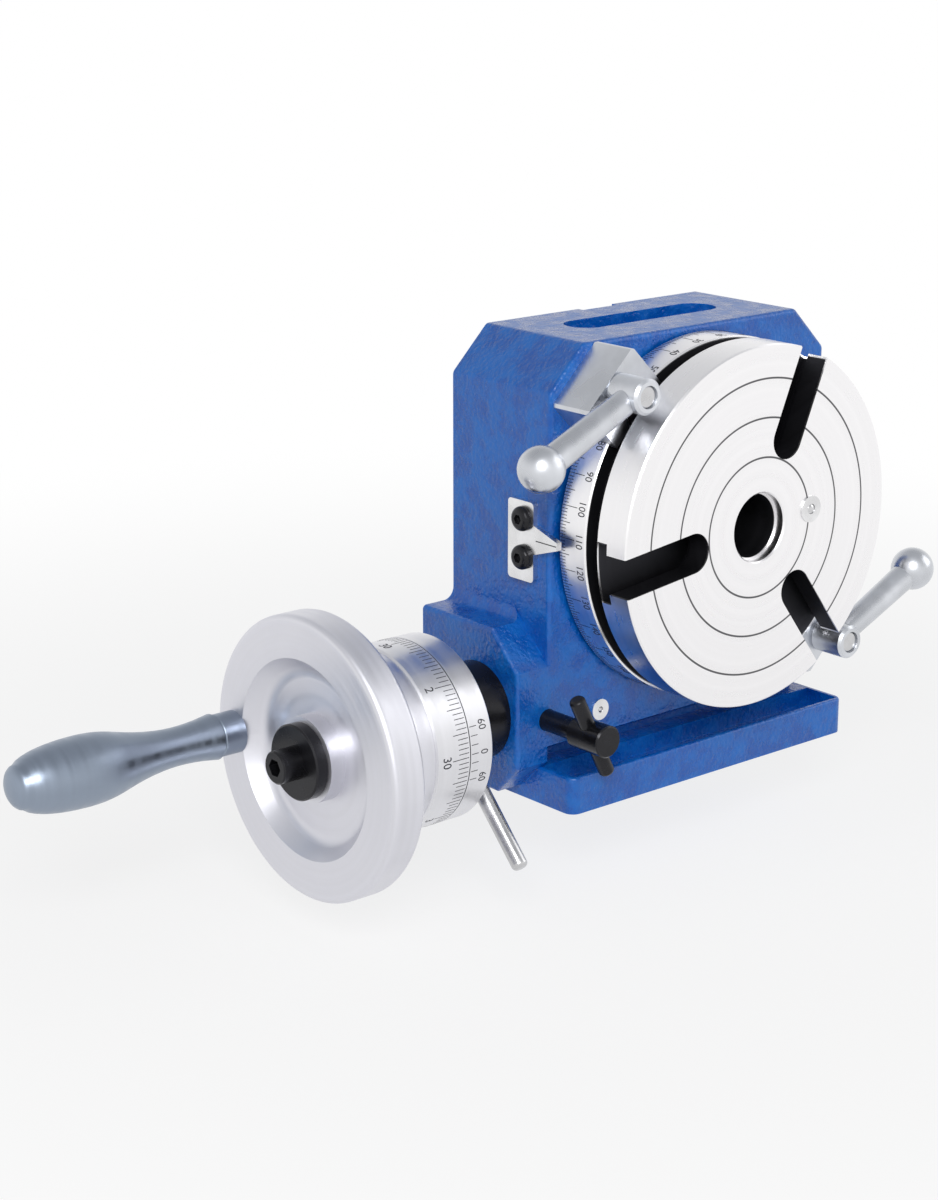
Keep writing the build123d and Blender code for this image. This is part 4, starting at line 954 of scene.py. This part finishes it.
class BuildStage(bpy.types.Operator):
    """Pale floor, softboxes, even sky and the camera"""

    bl_idname = "rotary.build_stage"
    bl_label = "Studio"

    def execute(self, context):
        stage = context.scene.rotary_stage
        self.floor(stage)
        self.sky(context.scene, stage)
        softbox("key_softbox", (-0.8, -0.9, 0.8), (0.0, -0.03, 0.06), 0.6, stage.key_power)
        softbox("fill_softbox", (1.1, -0.7, 0.7), (0.0, -0.03, 0.06), 0.9, stage.fill_power)
        self.camera(context.scene, stage)
        context.scene.view_settings.view_transform = "Standard"
        return {"FINISHED"}

    def floor(self, stage):
        """A wide pale floor that fades to plain white away from the object's shadow."""
        deselect_all()
        bpy.ops.mesh.primitive_plane_add(size=2 * stage.floor_reach, location=(0, 0, stage.floor_height))
        floor = bpy.context.object
        floor.name = "studio_floor"
        bpy.ops.object.transform_apply(location=True, rotation=True, scale=True)
        made, tree, shader, place = start_material("pale floor", 0.9, 0.0)
        shader.inputs["Base Color"].default_value = (0.93, 0.93, 0.93, 1.0)
        shader.inputs["Specular IOR Level"].default_value = 0.0
        glow = tree.nodes.new("ShaderNodeEmission")
        glow.inputs["Color"].default_value = (1.0, 1.0, 1.0, 1.0)
        reach = tree.nodes.new("ShaderNodeVectorMath")
        reach.operation = "LENGTH"
        link(tree, place, reach.inputs[0])
        seen = self.seen_plainly(tree)
        far = spread(tree, reach.outputs["Value"], 0.12, 0.5, 0.8, 1.0)
        mixed = tree.nodes.new("ShaderNodeMixShader")
        link(tree, calc(tree, "MULTIPLY", seen, far), mixed.inputs[0])
        link(tree, shader.outputs[0], mixed.inputs[1])
        link(tree, glow.outputs[0], mixed.inputs[2])
        link(tree, mixed.outputs[0], tree.nodes["Material Output"].inputs["Surface"])
        floor.data.materials.append(made)

    def seen_plainly(self, tree):
        """1 for the camera, for reflections and through glass; 0 for the light that falls on things."""
        path = tree.nodes.new("ShaderNodeLightPath")
        seen = calc(tree, "MAXIMUM", path.outputs["Is Camera Ray"], path.outputs["Is Glossy Ray"])
        return calc(tree, "MAXIMUM", seen, path.outputs["Is Transmission Ray"])

    def sky(self, scene, stage):
        """Even light; seen plainly it is white at the horizon and greyer overhead, as a studio is."""
        world = bpy.data.worlds.new("studio")
        world.use_nodes = True
        scene.world = world
        tree = world.node_tree
        shade = tree.nodes["Background"]
        direction = tree.nodes.new("ShaderNodeSeparateXYZ")
        link(tree, tree.nodes.new("ShaderNodeTexCoord").outputs["Generated"], direction.inputs[0])
        tint = spread(tree, direction.outputs["Z"], 0.15, 0.95)
        link(tree, blend_colours(tree, tint, (1.0, 1.0, 1.0), (0.55, 0.56, 0.58)), shade.inputs["Color"])
        seen = self.seen_plainly(tree)
        link(tree, spread(tree, seen, 0.0, 1.0, stage.sky, 1.0), shade.inputs["Strength"])

    def camera(self, scene, stage):
        """The photograph's viewing angle."""
        deselect_all()
        view = (stage.camera_tilt, 0.0, stage.camera_turn)
        bpy.ops.object.camera_add(location=stage.camera_place, rotation=view)
        camera = bpy.context.object
        camera.name = "studio_camera"
        camera.data.lens = stage.lens
        camera.data.sensor_fit = "VERTICAL"
        camera.data.sensor_height = 36.0
        camera.data.clip_start = 0.01
        camera.data.clip_end = 50.0
        scene.camera = camera


OPERATORS = (
    DressCastings,
    DressTable,
    DressGearing,
    DressSleeve,
    DressDials,
    DressHandwheel,
    ModelGrip,
    DressClamps,
    DressIndex,
    EngraveTable,
    EngraveDial,
    EngraveVernier,
    BuildStage,
)


class ROTARY_PT_dressing(bpy.types.Panel):
    """Lists the steps and the sizes that they use."""

    bl_idname = "ROTARY_PT_dressing"
    bl_label = "Rotary Table"
    bl_space_type = "VIEW_3D"
    bl_region_type = "UI"
    bl_category = "Rotary Table"

    def draw(self, context):
        column = self.layout.column()
        for operator in OPERATORS:
            column.operator(operator.bl_idname)
        for group in (context.scene.rotary_finish, context.scene.rotary_scales, context.scene.rotary_stage):
            box = self.layout.box()
            for name in group.bl_rna.properties.keys():
                if name not in ("rna_type", "name"):
                    box.prop(group, name)


CLASSES = (FinishSettings, ScaleSettings, GripSettings, StageSettings, *OPERATORS, ROTARY_PT_dressing)


def register():
    """Adds the classes and hangs the settings on the scene."""
    for cls in CLASSES:
        bpy.utils.register_class(cls)
    bpy.types.Scene.rotary_finish = bpy.props.PointerProperty(type=FinishSettings)
    bpy.types.Scene.rotary_scales = bpy.props.PointerProperty(type=ScaleSettings)
    bpy.types.Scene.rotary_grip = bpy.props.PointerProperty(type=GripSettings)
    bpy.types.Scene.rotary_stage = bpy.props.PointerProperty(type=StageSettings)


def unregister():
    """Takes the settings and the classes away again."""
    del bpy.types.Scene.rotary_stage
    del bpy.types.Scene.rotary_grip
    del bpy.types.Scene.rotary_scales
    del bpy.types.Scene.rotary_finish
    for cls in reversed(CLASSES):
        bpy.utils.unregister_class(cls)


def main():
    """Runs every step in order."""
    register()
    bpy.ops.rotary.dress_castings()
    bpy.ops.rotary.dress_table()
    bpy.ops.rotary.dress_gearing()
    bpy.ops.rotary.dress_sleeve()
    bpy.ops.rotary.dress_dials()
    bpy.ops.rotary.dress_handwheel()
    bpy.ops.rotary.model_grip()
    bpy.ops.rotary.dress_clamps()
    bpy.ops.rotary.dress_index()
    bpy.ops.rotary.engrave_table()
    bpy.ops.rotary.engrave_dial()
    bpy.ops.rotary.engrave_vernier()
    bpy.ops.rotary.build_stage()


if __name__ == "__main__":
    main()
